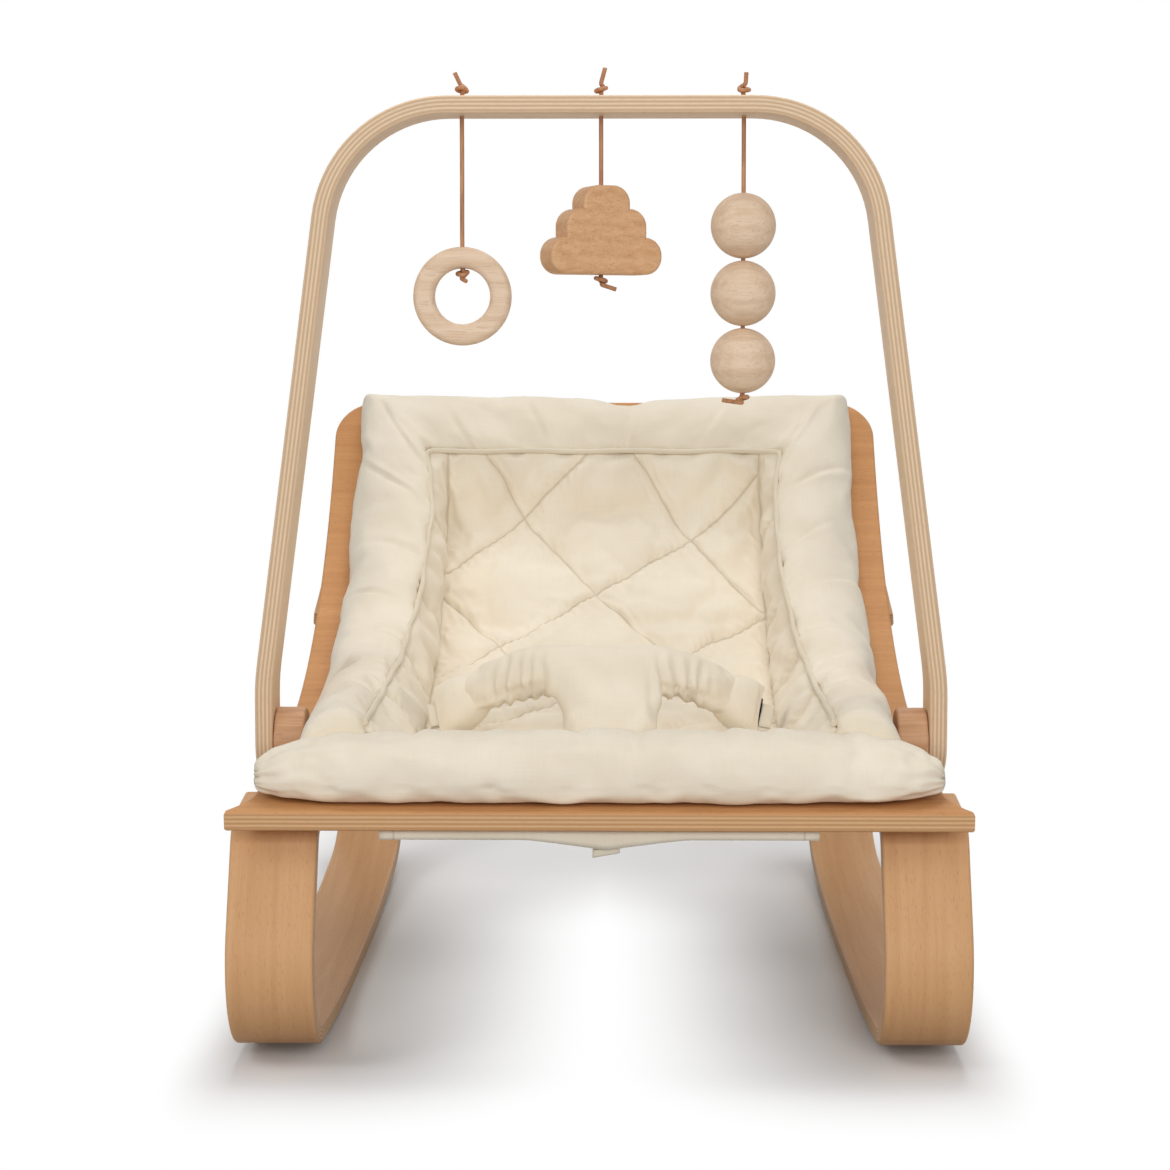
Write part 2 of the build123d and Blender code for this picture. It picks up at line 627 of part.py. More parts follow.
CLOUD_STEPS = ((1.0, 0.42, 0.2), (0.72, 0.74, 0.2), (0.42, 1.0, 0.2))
cloud_plane = Plane(
    origin=(CLOUD_PLACE, TOY_Y, CLOUD_TOP - CLOUD_HEIGHT),
    x_dir=(cos(CLOUD_TURN), sin(CLOUD_TURN), 0),
    z_dir=(sin(CLOUD_TURN), -cos(CLOUD_TURN), 0),
)
with BuildPart() as wooden_cloud:
    with BuildSketch(cloud_plane):
        for wide, high, corner in CLOUD_STEPS:
            with Locations((0, high * CLOUD_HEIGHT / 2)):
                RectangleRounded(wide * CLOUD_WIDTH, high * CLOUD_HEIGHT, corner * CLOUD_HEIGHT)
    extrude(amount=CLOUD_THICK / 2, both=True)
    faces = wooden_cloud.faces().sort_by(Axis((0, 0, 0), cloud_plane.z_dir))
    fillet(faces[0].edges() + faces[-1].edges(), CLOUD_EDGE)
    with BuildSketch(Plane((CLOUD_PLACE, TOY_Y, CLOUD_TOP - 2 * CLOUD_HEIGHT))):
        Circle(CORD_HOLE / 2)
    extrude(amount=3 * CLOUD_HEIGHT, mode=Mode.SUBTRACT)
save(wooden_cloud, "wooden_cloud")

for name, bead_top in zip(("bead_top", "bead_middle", "bead_bottom"), BEAD_TOPS):
    with BuildPart() as bead:
        with Locations((BEAD_PLACE, TOY_Y, bead_top - BEAD / 2)):
            Sphere(BEAD / 2)
            Cylinder(CORD_HOLE / 2, 2 * BEAD, mode=Mode.SUBTRACT)
    save(bead, name)


# Cushion
def bolster_outline(half, height):
    """Stuffed roll in section: flat below, full at the sides, crowned on top."""
    foot = (0.7 * half, 0)
    shoulder = (0.55 * half, 0.9 * height)
    Line((-foot[0], 0), foot)
    ThreePointArc(foot, (half, 0.45 * height), shoulder)
    ThreePointArc(shoulder, (0, height), (-shoulder[0], shoulder[1]))
    ThreePointArc((-shoulder[0], shoulder[1]), (-half, 0.45 * height), (-foot[0], 0))


def fullness(share):
    """How full a bolster is along its length: drawn in at both ends, waved between."""
    end = min(share, 1 - share)
    drawn = 1 - BOLSTER_DRAW_IN * math.exp(-end / 0.022)
    return drawn * (1 + BOLSTER_WAVE * math.cos(6 * math.pi * share))


FULLEST = 1 + BOLSTER_WAVE
BOLSTER_SHARES = (0, 0.025, 0.08, 0.2, 0.35, 0.5, 0.65, 0.8, 0.92, 0.975, 1)
FRONT_BOLSTER_BACK = FRONT_BOLSTER_PLACE + FULLEST * FRONT_BOLSTER_HALF
SIDE_BOLSTER_START = FRONT_BOLSTER_BACK + PANEL_PLAY
SIDE_BOLSTER_END = SHEET_LENGTH - TOP_MARGIN
TOP_BOLSTER_HALF_LENGTH = SIDE_BOLSTER_PLACE - FULLEST * SIDE_BOLSTER_HALF - SOFT_PLAY
TOP_BOLSTER_PLACE = SHEET_LENGTH - TOP_MARGIN - TOP_BOLSTER_HALF

with BuildPart() as front_bolster:
    for share in BOLSTER_SHARES:
        x_section = FRONT_BOLSTER_HALF_LENGTH * (2 * share - 1)
        with BuildSketch(sheet_cross_plane(FRONT_BOLSTER_PLACE, x_section, SOFT_PLAY)):
            with BuildLine():
                bolster_outline(FRONT_BOLSTER_HALF * fullness(share), BOLSTER_HEIGHT * fullness(share))
            make_face()
    loft()
save(front_bolster, "front_bolster")

with BuildPart() as top_bolster:
    for share in BOLSTER_SHARES:
        x_section = TOP_BOLSTER_HALF_LENGTH * (2 * share - 1)
        with BuildSketch(sheet_cross_plane(TOP_BOLSTER_PLACE, x_section, SOFT_PLAY)):
            with BuildLine():
                bolster_outline(TOP_BOLSTER_HALF * fullness(share), BOLSTER_HEIGHT * fullness(share))
            make_face()
    loft()
save(top_bolster, "top_bolster")

for side, turn in (("left", -1), ("right", 1)):
    with BuildPart() as side_bolster:
        for share in BOLSTER_SHARES:
            along = SIDE_BOLSTER_START + share * (SIDE_BOLSTER_END - SIDE_BOLSTER_START)
            with BuildSketch(sheet_side_plane(along, turn * SIDE_BOLSTER_PLACE, SOFT_PLAY)):
                with BuildLine():
                    bolster_outline(
                        SIDE_BOLSTER_HALF * fullness(share), BOLSTER_HEIGHT * fullness(share)
                    )
                make_face()
        loft()
    save(side_bolster, side + "_bolster")

# Quilted panel, sunk between the bolsters
PANEL_START = SIDE_BOLSTER_START
PANEL_END = TOP_BOLSTER_PLACE - FULLEST * TOP_BOLSTER_HALF - PANEL_PLAY
PANEL_SHARES = (0, 0.12, 0.28, 0.46, 0.64, 0.8, 0.92, 1)
PANEL_CROWN = (PANEL_THICK - PANEL_EDGE_THICK) / 2


def panel_along(share):
    """Length along the sheet at a share of the panel's length."""
    return PANEL_START + share * (PANEL_END - PANEL_START)


def panel_top(share):
    """Height of the panel's middle over the sheet's top."""
    return PANEL_END_LIFT - PANEL_SAG * math.sin(math.pi * share)


def panel_outline(top, half_width):
    """Pad in section: crowned above and below, thinner at the sides."""
    high = top - PANEL_CROWN
    low = high - PANEL_EDGE_THICK
    Line((half_width, low), (half_width, high))
    ThreePointArc((half_width, high), (0, top), (-half_width, high))
    Line((-half_width, high), (-half_width, low))
    ThreePointArc((-half_width, low), (0, top - PANEL_THICK), (half_width, low))


# The part of the panel that the quilting leaves whole
with BuildPart() as below_quilting:
    for share in PANEL_SHARES:
        with BuildSketch(sheet_side_plane(panel_along(share), 0)):
            with BuildLine():
                panel_outline(panel_top(share) - QUILT_DEPTH, 1.2 * PANEL_HALF_WIDTH)
            make_face()
    loft()

with BuildPart() as quilted_panel:
    for share in PANEL_SHARES:
        with BuildSketch(sheet_side_plane(panel_along(share), 0)):
            with BuildLine():
                panel_outline(panel_top(share), PANEL_HALF_WIDTH)
            make_face()
    loft()
    with BuildSketch(Plane(spot(QUILT_CROSSING[0], (QUILT_CROSSING[1], 0)))):
        for turn in QUILT_ANGLES:
            for index in range(-QUILT_COUNT, QUILT_COUNT + 1):
                aside = index * QUILT_PITCH
                with Locations((-aside * sin(turn), aside * cos(turn))):
                    Rectangle(3 * SHEET_LENGTH, QUILT_WIDTH, rotation=turn)
    stitching = extrude(amount=SHEET_LENGTH, mode=Mode.PRIVATE)
    add(stitching - below_quilting.part, mode=Mode.SUBTRACT)
save(quilted_panel, "quilted_panel")

# Gussets: padded walls from the panel's edges up to the side bolsters
GUSSET_FOOT = PANEL_HALF_WIDTH + SOFT_PLAY
GUSSET_HEAD = SIDE_BOLSTER_PLACE - FULLEST * SIDE_BOLSTER_HALF - SOFT_PLAY
for side, turn in (("left", -1), ("right", 1)):
    with BuildPart() as gusset:
        for share in PANEL_SHARES:
            foot_lift = panel_top(share) - PANEL_CROWN
            with BuildSketch(sheet_side_plane(panel_along(share), 0)):
                with BuildLine():
                    Polyline(
                        (turn * GUSSET_FOOT, foot_lift - GUSSET_THICK),
                        (turn * GUSSET_HEAD, GUSSET_TOP_LIFT - GUSSET_THICK),
                        (turn * GUSSET_HEAD, GUSSET_TOP_LIFT),
                        (turn * GUSSET_FOOT, foot_lift),
                        close=True,
                    )
                make_face()
        loft()
    save(gusset, side + "_gusset")

# Piping along the sunken panel's rim: down both sides and across the top
with BuildPart() as panel_piping:
    for turn in (-1, 1):
        x_side = turn * PIPING_PLACE
        with BuildLine(Plane.YZ.offset(x_side)) as side_run:
            sheet_line(PANEL_START, PANEL_END, PIPING_LIFT)
        with BuildSketch(sheet_side_plane(PANEL_START, x_side, PIPING_LIFT)):
            Circle(PIPING_RADIUS)
        sweep(path=side_run.wires()[0])
        with Locations(spot(x_side, sheet_point(PANEL_END, PIPING_LIFT))):
            Sphere(PIPING_RADIUS)
    with BuildSketch(sheet_cross_plane(PANEL_END, -PIPING_PLACE, PIPING_LIFT)):
        Circle(PIPING_RADIUS)
    extrude(amount=2 * PIPING_PLACE)
save(panel_piping, "panel_piping")

# Sling: the cloth under the panel, drawn under the front and top bars
SLING_STEPS = 16
BAR_UNDER = -FRAME_PLY - SOFT_PLAY
sling_route = [sheet_point(SLING_HEM, BAR_UNDER), sheet_point(FRONT_BAR_DEPTH, BAR_UNDER)]
for index in range(SLING_STEPS):
    share = (index + 0.5) / SLING_STEPS
    below_panel = panel_top(share) - PANEL_THICK - 2 * SOFT_PLAY
    sling_route.append(sheet_point(panel_along(share), min(below_panel, BAR_UNDER)))
sling_route.append(sheet_point(SHEET_LENGTH - SLING_HEM, BAR_UNDER))

with BuildPart() as seat_sling:
    with BuildSketch(Plane.YZ.offset(-SLING_HALF_WIDTH)):
        with BuildLine():
            Polyline(*[place(point) for point in sling_route])
            offset(amount=SLING_THICK, side=Side.RIGHT)
        make_face()
    extrude(amount=2 * SLING_HALF_WIDTH)
save(seat_sling, "seat_sling")

# Pull tab under the sling's front hem
TAB_LIFT = BAR_UNDER - SLING_THICK - SOFT_PLAY / 2 - TAB_DROP / 2
with BuildPart() as pull_tab:
    with BuildSketch(sheet_cross_plane(TAB_PLACE, -TAB_WIDTH / 2, TAB_LIFT)):
        Rectangle(TAB_THICK, TAB_DROP)
    extrude(amount=TAB_WIDTH)
save(pull_tab, "pull_tab")


# Harness
def pad_outline(half_width, thick):
    """Padded strip in section: two crowned faces and narrow sides."""
    edge = 0.25 * thick
    Line((half_width, -edge), (half_width, edge))
    ThreePointArc((half_width, edge), (0, thick / 2), (-half_width, edge))
    Line((-half_width, edge), (-half_width, -edge))
    ThreePointArc((-half_width, -edge), (0, -thick / 2), (half_width, -edge))


POST_FOOT = sheet_point(POST_FOOT_ALONG, POST_LIFT) + (SEAT_SLOPE + 90,)
with BuildPart() as crotch_pad:
    for depth, height, heading in (POST_FOOT, POST_MIDDLE, POST_TOP):
        post_plane = Plane(
            origin=spot(0, (depth, height)),
            x_dir=(1, 0, 0),
            z_dir=(0, -cos(heading), -sin(heading)),
        )
        with BuildSketch(post_plane):
            with BuildLine():
                pad_outline(POST_HALF_WIDTH, POST_THICK)
            make_face()
    loft()
save(crotch_pad, "crotch_pad")


def across_wing(stop, before, after):
    """Plane square to the wings at a stop, with x up along their leaning face."""
    heading = (Vector(after) - Vector(before)).normalized()
    lean = Vector(0, cos(WAIST_LEAN), sin(WAIST_LEAN))
    upward = lean - heading * lean.dot(heading)
    return Plane(origin=spot(stop[0], stop[1:]), x_dir=upward, z_dir=heading)


WAIST_RIGHT = [WAIST_SHOULDER, WAIST_ELBOW, WAIST_END]
WAIST_LEFT = [(-x, depth, height) for x, depth, height in reversed(WAIST_RIGHT)]
WAIST_STOPS = WAIST_LEFT + [WAIST_CENTRE] + WAIST_RIGHT
WAIST_LAST = len(WAIST_STOPS) - 1
with BuildPart() as waist_pad:
    for index, stop in enumerate(WAIST_STOPS):
        before = WAIST_STOPS[max(index - 1, 0)]
        after = WAIST_STOPS[min(index + 1, WAIST_LAST)]
        with BuildSketch(across_wing(stop, before, after)):
            with BuildLine():
                pad_outline(WAIST_HALF_HEIGHT, WAIST_THICK)
            make_face()
    loft()
save(waist_pad, "waist_pad")

# Straps and buckles at the wings' ends
for side, tip, elbow in (("left", 0, 1), ("right", WAIST_LAST, WAIST_LAST - 1)):
    wing_end = across_wing(WAIST_STOPS[tip], WAIST_STOPS[elbow], WAIST_STOPS[tip])
    with BuildPart() as buckle:
        with BuildSketch(wing_end.offset(SOFT_PLAY)):
            RectangleRounded(BUCKLE_WIDTH, BUCKLE_THICK, BUCKLE_CORNER)
        extrude(amount=BUCKLE_LENGTH)
    save(buckle, side + "_strap_buckle")
    with BuildPart() as strap:
        with BuildSketch(wing_end.offset(BUCKLE_LENGTH + 2 * SOFT_PLAY)):
            Rectangle(STRAP_WIDTH, STRAP_THICK)
        extrude(amount=STRAP_LENGTH)
    save(strap, side + "_waist_strap")
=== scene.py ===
import math

import bpy
import numpy as np
from mathutils import Matrix, Vector, noise


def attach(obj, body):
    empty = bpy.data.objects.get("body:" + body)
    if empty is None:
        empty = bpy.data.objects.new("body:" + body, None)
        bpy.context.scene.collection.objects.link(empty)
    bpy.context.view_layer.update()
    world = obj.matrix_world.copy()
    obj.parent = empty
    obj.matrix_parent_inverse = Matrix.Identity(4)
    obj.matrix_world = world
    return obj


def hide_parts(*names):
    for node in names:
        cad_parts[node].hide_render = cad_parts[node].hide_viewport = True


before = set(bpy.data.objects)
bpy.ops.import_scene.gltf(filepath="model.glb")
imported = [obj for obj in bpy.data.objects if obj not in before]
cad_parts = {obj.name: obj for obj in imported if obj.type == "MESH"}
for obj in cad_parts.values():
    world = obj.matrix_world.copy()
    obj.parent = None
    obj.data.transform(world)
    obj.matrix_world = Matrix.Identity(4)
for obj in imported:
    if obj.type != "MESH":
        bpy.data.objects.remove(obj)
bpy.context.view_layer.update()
scene = bpy.context.scene
noise.seed_set(1)  # the same folds on every run

# Sizes in metres, the same as in the construction
BAR_TOP = 0.1475
SEAT_SLOPE = math.radians(6)
BACK_SLOPE = math.radians(52)
SEAT_RUN = 0.172
BACK_RADIUS = 0.420
BACK_RUN = 0.049
BEND_LENGTH = (BACK_SLOPE - SEAT_SLOPE) * BACK_RADIUS
BEND_END = SEAT_RUN + BEND_LENGTH
SHEET_LENGTH = BEND_END + BACK_RUN
FRAME_PLY = 0.011
RUNNER_PLY = 0.0105
BOW_PLY = 0.0105
MIDDLE = 0.3277503
TOY_Y = 0.1476655 - MIDDLE
BOW_TOP = 0.547
BAR_UNDER = BOW_TOP - BOW_PLY
CORD = 0.0026
TOYS = {"ring": -0.082, "cloud": 0.0, "bead": 0.084}
KNOT_TOPS = {"ring": 0.4472, "cloud": 0.4434, "bead": 0.3735}
# Middle of the sheet's bend, in depth from the front bar's edge and in height
BEND_CENTRE = (
    SEAT_RUN * math.cos(SEAT_SLOPE) - BACK_RADIUS * math.sin(SEAT_SLOPE),
    BAR_TOP + SEAT_RUN * math.sin(SEAT_SLOPE) + BACK_RADIUS * math.cos(SEAT_SLOPE),
)


# Places on the bent seat sheet
def sheet_points(x, along, lift):
    """Positions at places across, along and off the seat sheet."""
    x, along, lift = np.broadcast_arrays(*[np.asarray(v, dtype=float) for v in (x, along, lift)])
    slope = SEAT_SLOPE + np.clip(along - SEAT_RUN, 0, BEND_LENGTH) / BACK_RADIUS
    run = np.where(along < SEAT_RUN, along - SEAT_RUN, np.maximum(along - BEND_END, 0))
    y = BEND_CENTRE[0] + (BACK_RADIUS - lift) * np.sin(slope) + run * np.cos(slope) - MIDDLE
    z = BEND_CENTRE[1] - (BACK_RADIUS - lift) * np.cos(slope) + run * np.sin(slope)
    return np.stack([x, y, z], axis=-1)


def sheet_coords(points):
    """Along and lift of positions near the seat sheet."""
    y = points[:, 1] - (BEND_CENTRE[0] - MIDDLE)
    z = points[:, 2] - BEND_CENTRE[1]
    angle = np.clip(np.arctan2(y, -z), SEAT_SLOPE, BACK_SLOPE)
    run = y * np.cos(angle) + z * np.sin(angle)
    lift = BACK_RADIUS - (y * np.sin(angle) - z * np.cos(angle))
    return SEAT_RUN + (angle - SEAT_SLOPE) * BACK_RADIUS + run, lift


# Objects and the numbers kept in their meshes
def add_object(name, data):
    piece = bpy.data.objects.new(name, data)
    scene.collection.objects.link(piece)
    return piece


def get_vectors(data, field="vector"):
    """Three numbers for each item, in rows."""
    values = np.empty(len(data) * 3, dtype=np.float32)
    data.foreach_get(field, values)
    return values.reshape(-1, 3).astype(float)


def set_vectors(mesh, name, values):
    """Keeps three numbers for each point, under the name that a material reads."""
    if name not in mesh.attributes:
        mesh.attributes.new(name, "FLOAT_VECTOR", "POINT")
    mesh.attributes[name].data.foreach_set("vector", values.astype(np.float32).ravel())


def get_points(mesh):
    return get_vectors(mesh.vertices, "co")


def set_points(mesh, points):
    mesh.vertices.foreach_set("co", points.ravel())
    mesh.update()


# Node materials
def linear(share):
    return share / 12.92 if share <= 0.04045 else ((share + 0.055) / 1.055) ** 2.4


def colours(codes):
    """Linear colours from the hexadecimal codes of screen colours."""
    return [(*[linear(value / 255) for value in bytes.fromhex(code)], 1.0) for code in codes.split()]


class Nodes:
    """Short way to write a node material."""

    def __init__(self, name):
        self.material = bpy.data.materials.new(name)
        self.material.use_nodes = True
        self.tree = self.material.node_tree
        self.shader = self.tree.nodes["Principled BSDF"]

    def add(self, kind, inputs=None, **settings):
        node = self.tree.nodes.new("ShaderNode" + kind)
        for key, value in settings.items():
            setattr(node, key, value)
        for key, value in (inputs or {}).items():
            self.put(node.inputs[key], value)
        return node

    def put(self, socket, value):
        if isinstance(value, bpy.types.NodeSocket):
            self.tree.links.new(value, socket)
        else:
            socket.default_value = value

    def place(self):
        return self.add("TexCoord").outputs["Object"]

    def math(self, operation, first, second=0.0, third=0.0):
        node = self.add("Math", operation=operation)
        for index, value in enumerate((first, second, third)):
            self.put(node.inputs[index], value)
        return node.outputs[0]

    def scaled(self, vector, factors):
        node = self.add("Mapping", {"Vector": vector, "Scale": factors})
        return node.outputs[0]

    def noise(self, vector, scale, detail=4.0, roughness=0.55, distortion=0.0):
        """Noise at one scale, or stretched by a scale for each axis."""
        if isinstance(scale, tuple):
            vector, scale = self.scaled(vector, scale), 1.0
        inputs = {"Vector": vector, "Scale": scale, "Detail": detail}
        inputs.update({"Roughness": roughness, "Distortion": distortion})
        return self.add("TexNoise", inputs).outputs["Fac"]

    def ramp(self, value, stops, interpolation="LINEAR"):
        node = self.add("ValToRGB", {"Fac": value})
        node.color_ramp.interpolation = interpolation
        elements = node.color_ramp.elements
        while len(elements) < len(stops):
            elements.new(0.5)
        for element, (place, colour) in zip(elements, stops):
            element.position = place
            element.color = colour if len(colour) == 4 else (*colour, 1.0)
        return node.outputs["Color"]

    def mix(self, factor, first, second, blend="MIX"):
        node = self.add("Mix", data_type="RGBA", blend_type=blend)
        self.put(node.inputs["Factor"], factor)
        self.put(node.inputs["A"], first)
        self.put(node.inputs["B"], second)
        return node.outputs["Result"]

    def range(self, value, low, high, to_low=0.0, to_high=1.0):
        node = self.add("MapRange", {"Value": value, "From Min": low, "From Max": high})
        node.inputs["To Min"].default_value = to_low
        node.inputs["To Max"].default_value = to_high
        node.interpolation_type = "SMOOTHSTEP"
        return node.outputs["Result"]

    def bump(self, height, strength, distance, normal=None):
        node = self.add("Bump", {"Height": height, "Strength": strength, "Distance": distance})
        if normal is not None:
            self.put(node.inputs["Normal"], normal)
        return node.outputs["Normal"]

    def finish(self, colour, roughness, normal=None, **settings):
        self.put(self.shader.inputs["Base Color"], colour)
        self.put(self.shader.inputs["Roughness"], roughness)
        if normal is not None:
            self.put(self.shader.inputs["Normal"], normal)
        for key, value in settings.items():
            self.shader.inputs[key.replace("_", " ")].default_value = value
        return self.material


LAYER_PAIRS = 4.5  # light and dark layers in a sheet of plywood


def wood_grain(nodes, along, across, light, dark, fleck):
    """Veneer colour and height from lengths along and across the grain, in metres."""
    plain = nodes.add("CombineXYZ", {"X": along, "Y": across}).outputs[0]
    broad = nodes.noise(plain, (2.2, 15, 1), 3, 0.5, 1.1)
    streak = nodes.noise(plain, (5, 130, 1), 6, 0.6, 0.3)
    fine = nodes.noise(plain, (22, 900, 1), 4, 0.6)
    dash = nodes.noise(plain, (190, 1500, 1), 2, 0.5)
    tone = nodes.math("MULTIPLY_ADD", streak, 0.55, nodes.math("MULTIPLY", broad, 0.45))
    colour = nodes.ramp(tone, [(0.34, dark), (0.66, light)])
    colour = nodes.mix(nodes.range(fine, 0.5, 0.75, 0, 0.22), colour, dark)
    colour = nodes.mix(nodes.range(dash, 0.6, 0.7, 0, 0.4), colour, fleck)
    height = nodes.math("ADD", nodes.math("MULTIPLY", fine, 0.6), nodes.math("MULTIPLY", dash, 0.5))
    return colour, height


def ply_material(name, tones, thick, rough):
    """Plywood: veneer on the faces and thin glued layers on the cut edges."""
    nodes = Nodes(name)
    light, dark, fleck, layer_light, layer_dark = colours(tones)
    place = nodes.add("Attribute", attribute_name="ply").outputs["Vector"]
    along, across, depth = nodes.add("SeparateXYZ", {"Vector": place}).outputs
    face, height = wood_grain(nodes, along, across, light, dark, fleck)
    wander = nodes.noise(place, (30, 30, 200), 2, 0.5)
    shifted = nodes.math("MULTIPLY_ADD", wander, 0.0003, depth)
    wave = nodes.math("SINE", nodes.math("MULTIPLY", shifted, 2 * math.pi * LAYER_PAIRS / thick))
    speck = nodes.noise(place, (260, 260, 1400), 3, 0.6)
    stripes = nodes.ramp(nodes.range(wave, -0.75, 0.75), [(0.0, layer_dark), (1.0, layer_light)])
    stripes = nodes.mix(nodes.range(speck, 0.48, 0.72, 0, 0.35), stripes, layer_dark)
    glue = nodes.range(nodes.math("ABSOLUTE", wave), 0.0, 0.16, 0.28, 0.0)
    stripes = nodes.mix(glue, stripes, fleck)
    top_side = nodes.range(depth, 0.0007, 0.0012)
    low_side = nodes.range(nodes.math("SUBTRACT", thick, depth), 0.0007, 0.0012)
    edge = nodes.math("MULTIPLY", top_side, low_side)
    colour = nodes.mix(edge, face, stripes)
    normal = nodes.bump(height, 0.12, 0.0004)
    roughness = nodes.range(height, 0.3, 0.9, rough - 0.06, rough + 0.08)
    return nodes.finish(colour, roughness, normal, Specular_IOR_Level=0.2)


def turned_material(name, tones, ring_scale, rough):
    """Solid wood cut from a board: growth lines round a far pith, with flecks along X."""
    nodes = Nodes(name)
    light, dark, fleck = colours(tones)
    place = nodes.place()
    shift = nodes.add("Mapping", {"Vector": place, "Location": (0.06, 0.17, -0.02)}).outputs[0]
    warp = nodes.noise(place, 18, 2, 0.5)
    rings = nodes.add(
        "TexWave",
        {"Vector": shift, "Scale": ring_scale, "Distortion": 2.2, "Detail": 2.0, "Detail Scale": 1.3},
        wave_type="RINGS",
        rings_direction="X",
    ).outputs["Fac"]
    streak = nodes.noise(place, (14, 300, 300), 6, 0.62, 0.4)
    flecks = nodes.noise(place, (70, 1500, 1500), 2, 0.5)
    tone = nodes.math("MULTIPLY_ADD", rings, 0.12, nodes.math("MULTIPLY", streak, 0.88))
    colour = nodes.ramp(tone, [(0.32, dark), (0.62, light)])
    colour = nodes.mix(nodes.range(warp, 0.35, 0.7, 0, 0.12), colour, dark)
    colour = nodes.mix(nodes.range(flecks, 0.58, 0.7, 0, 0.45), colour, fleck)
    normal = nodes.bump(streak, 0.1, 0.0004)
    roughness = nodes.range(streak, 0.3, 0.8, rough - 0.05, rough + 0.1)
    return nodes.finish(colour, roughness, normal, Specular_IOR_Level=0.3)


def cotton_material(name, tones, thread):
    """Plain woven cotton: crossing threads, slubs, soft tone changes and sewn stitches."""
    nodes = Nodes(name)
    light, shade, weave, thread_tone = colours(tones)
    place = nodes.place()
    cloth = nodes.add("Attribute", attribute_name="cloth").outputs["Vector"]
    across, along, seam = nodes.add("SeparateXYZ", {"Vector": cloth}).outputs
    warp = nodes.math("SINE", nodes.math("MULTIPLY", across, 2 * math.pi / thread))
    weft = nodes.math("SINE", nodes.math("MULTIPLY", along, 2 * math.pi / thread))
    threads = nodes.math("MULTIPLY", warp, weft)
    slub_long = nodes.noise(cloth, (35, 900, 0), 3, 0.6)
    slub_cross = nodes.noise(cloth, (900, 35, 0), 3, 0.6)
    slub = nodes.math("MULTIPLY", nodes.math("ADD", slub_long, slub_cross), 0.5)
    mottle = nodes.noise(place, 22, 3, 0.5)
    soft = nodes.noise(place, 75, 4, 0.6)
    colour = nodes.ramp(mottle, [(0.3, shade), (0.7, light)])
    colour = nodes.mix(nodes.range(slub, 0.5, 0.62, 0, 0.12), colour, weave)
    near = nodes.range(seam, 0.0002, 0.0012, 0.5, 0.0)
    colour = nodes.mix(near, colour, thread_tone)
    height = nodes.math("MULTIPLY_ADD", threads, 0.25, nodes.math("MULTIPLY", slub, 1.2))
    normal = nodes.bump(soft, 0.22, 0.0012)
    normal = nodes.bump(height, 0.35, 0.00035, normal)
    return nodes.finish(colour, 0.9, normal, Sheen_Weight=0.22, Sheen_Roughness=0.5, Specular_IOR_Level=0.2)


def lace_material(name, tones):
    """Round leather lace: worn tan skin with fine creases."""
    nodes = Nodes(name)
    light, dark = colours(tones)
    place = nodes.place()
    worn = nodes.noise(place, (300, 300, 60), 4, 0.6)
    grain = nodes.add("TexVoronoi", {"Vector": place, "Scale": 1400}, feature="DISTANCE_TO_EDGE")
    colour = nodes.ramp(worn, [(0.35, dark), (0.7, light)])
    normal = nodes.bump(grain.outputs["Distance"], 0.3, 0.0002)
    return nodes.finish(colour, nodes.range(worn, 0.3, 0.7, 0.45, 0.65), normal)


def metal_material(name, colour, worn_colour, rough, scale):
    """Plated or plain metal with fine marks and uneven gloss."""
    nodes = Nodes(name)
    place = nodes.place()
    marks = nodes.noise(nodes.scaled(place, (1, 1, 6)), scale, 5, 0.65)
    tint = nodes.mix(nodes.range(marks, 0.4, 0.7, 0, 0.6), colour, worn_colour)
    normal = nodes.bump(marks, 0.08, 0.0002)
    return nodes.finish(tint, nodes.range(marks, 0.3, 0.7, rough, rough + 0.2), normal, Metallic=1.0)


def plastic_material(name, colour, bright):
    """Moulded plastic with a fine spark-eroded texture."""
    nodes = Nodes(name)
    place = nodes.place()
    pits = nodes.noise(place, 1800, 2, 0.5)
    tone = nodes.noise(place, 60, 3, 0.5)
    tint = nodes.mix(nodes.range(tone, 0.4, 0.7, 0, 0.5), colour, bright)
    normal = nodes.bump(pits, 0.3, 0.0002)
    return nodes.finish(tint, nodes.range(pits, 0.3, 0.7, 0.42, 0.58), normal)


FRAME_WOOD = ply_material("frame_plywood", "d29c68 be8654 9c663c dab286 c29468", FRAME_PLY, 0.62)
RUNNER_WOOD = ply_material("runner_plywood", "d8aa7c c79566 a27148 d4ae82 ba8e64", RUNNER_PLY, 0.5)
BOW_WOOD = ply_material("bow_plywood", "ebd0b0 ddbe9c b89470 e8ceae ceae8c", BOW_PLY, 0.48)
PEG_WOOD = turned_material("peg_beech", "d2a680 ba8a64 926444", 34, 0.5)
TOY_WOOD = turned_material("toy_beech", "ecd3b8 dcbea0 be9a7a", 30, 0.55)
CLOUD_WOOD = turned_material("cloud_beech", "e0b488 cc9a6e a06e48", 36, 0.5)
COTTON = cotton_material("cream_cotton", "f1e7d4 e9ddc8 d8cab2 beac8e", 0.0009)
PIPING = cotton_material("piping_cotton", "eee6d4 e4d9c5 d0c2a8 d0c2a8", 0.0007)
WEBBING = cotton_material("woven_tape", "ece4d2 e0d5c0 c8bca4 c8bca4", 0.0014)
LEATHER = lace_material("tan_leather", "cc966c a06a44")
STEEL = metal_material("zinc_steel", (0.55, 0.55, 0.56, 1), (0.38, 0.38, 0.39, 1), 0.25, 300)
BRASS = metal_material("plain_brass", (0.62, 0.47, 0.2, 1), (0.45, 0.33, 0.15, 1), 0.3, 300)
BLACK = plastic_material("black_plastic", (0.012, 0.012, 0.013, 1), (0.025, 0.025, 0.026, 1))


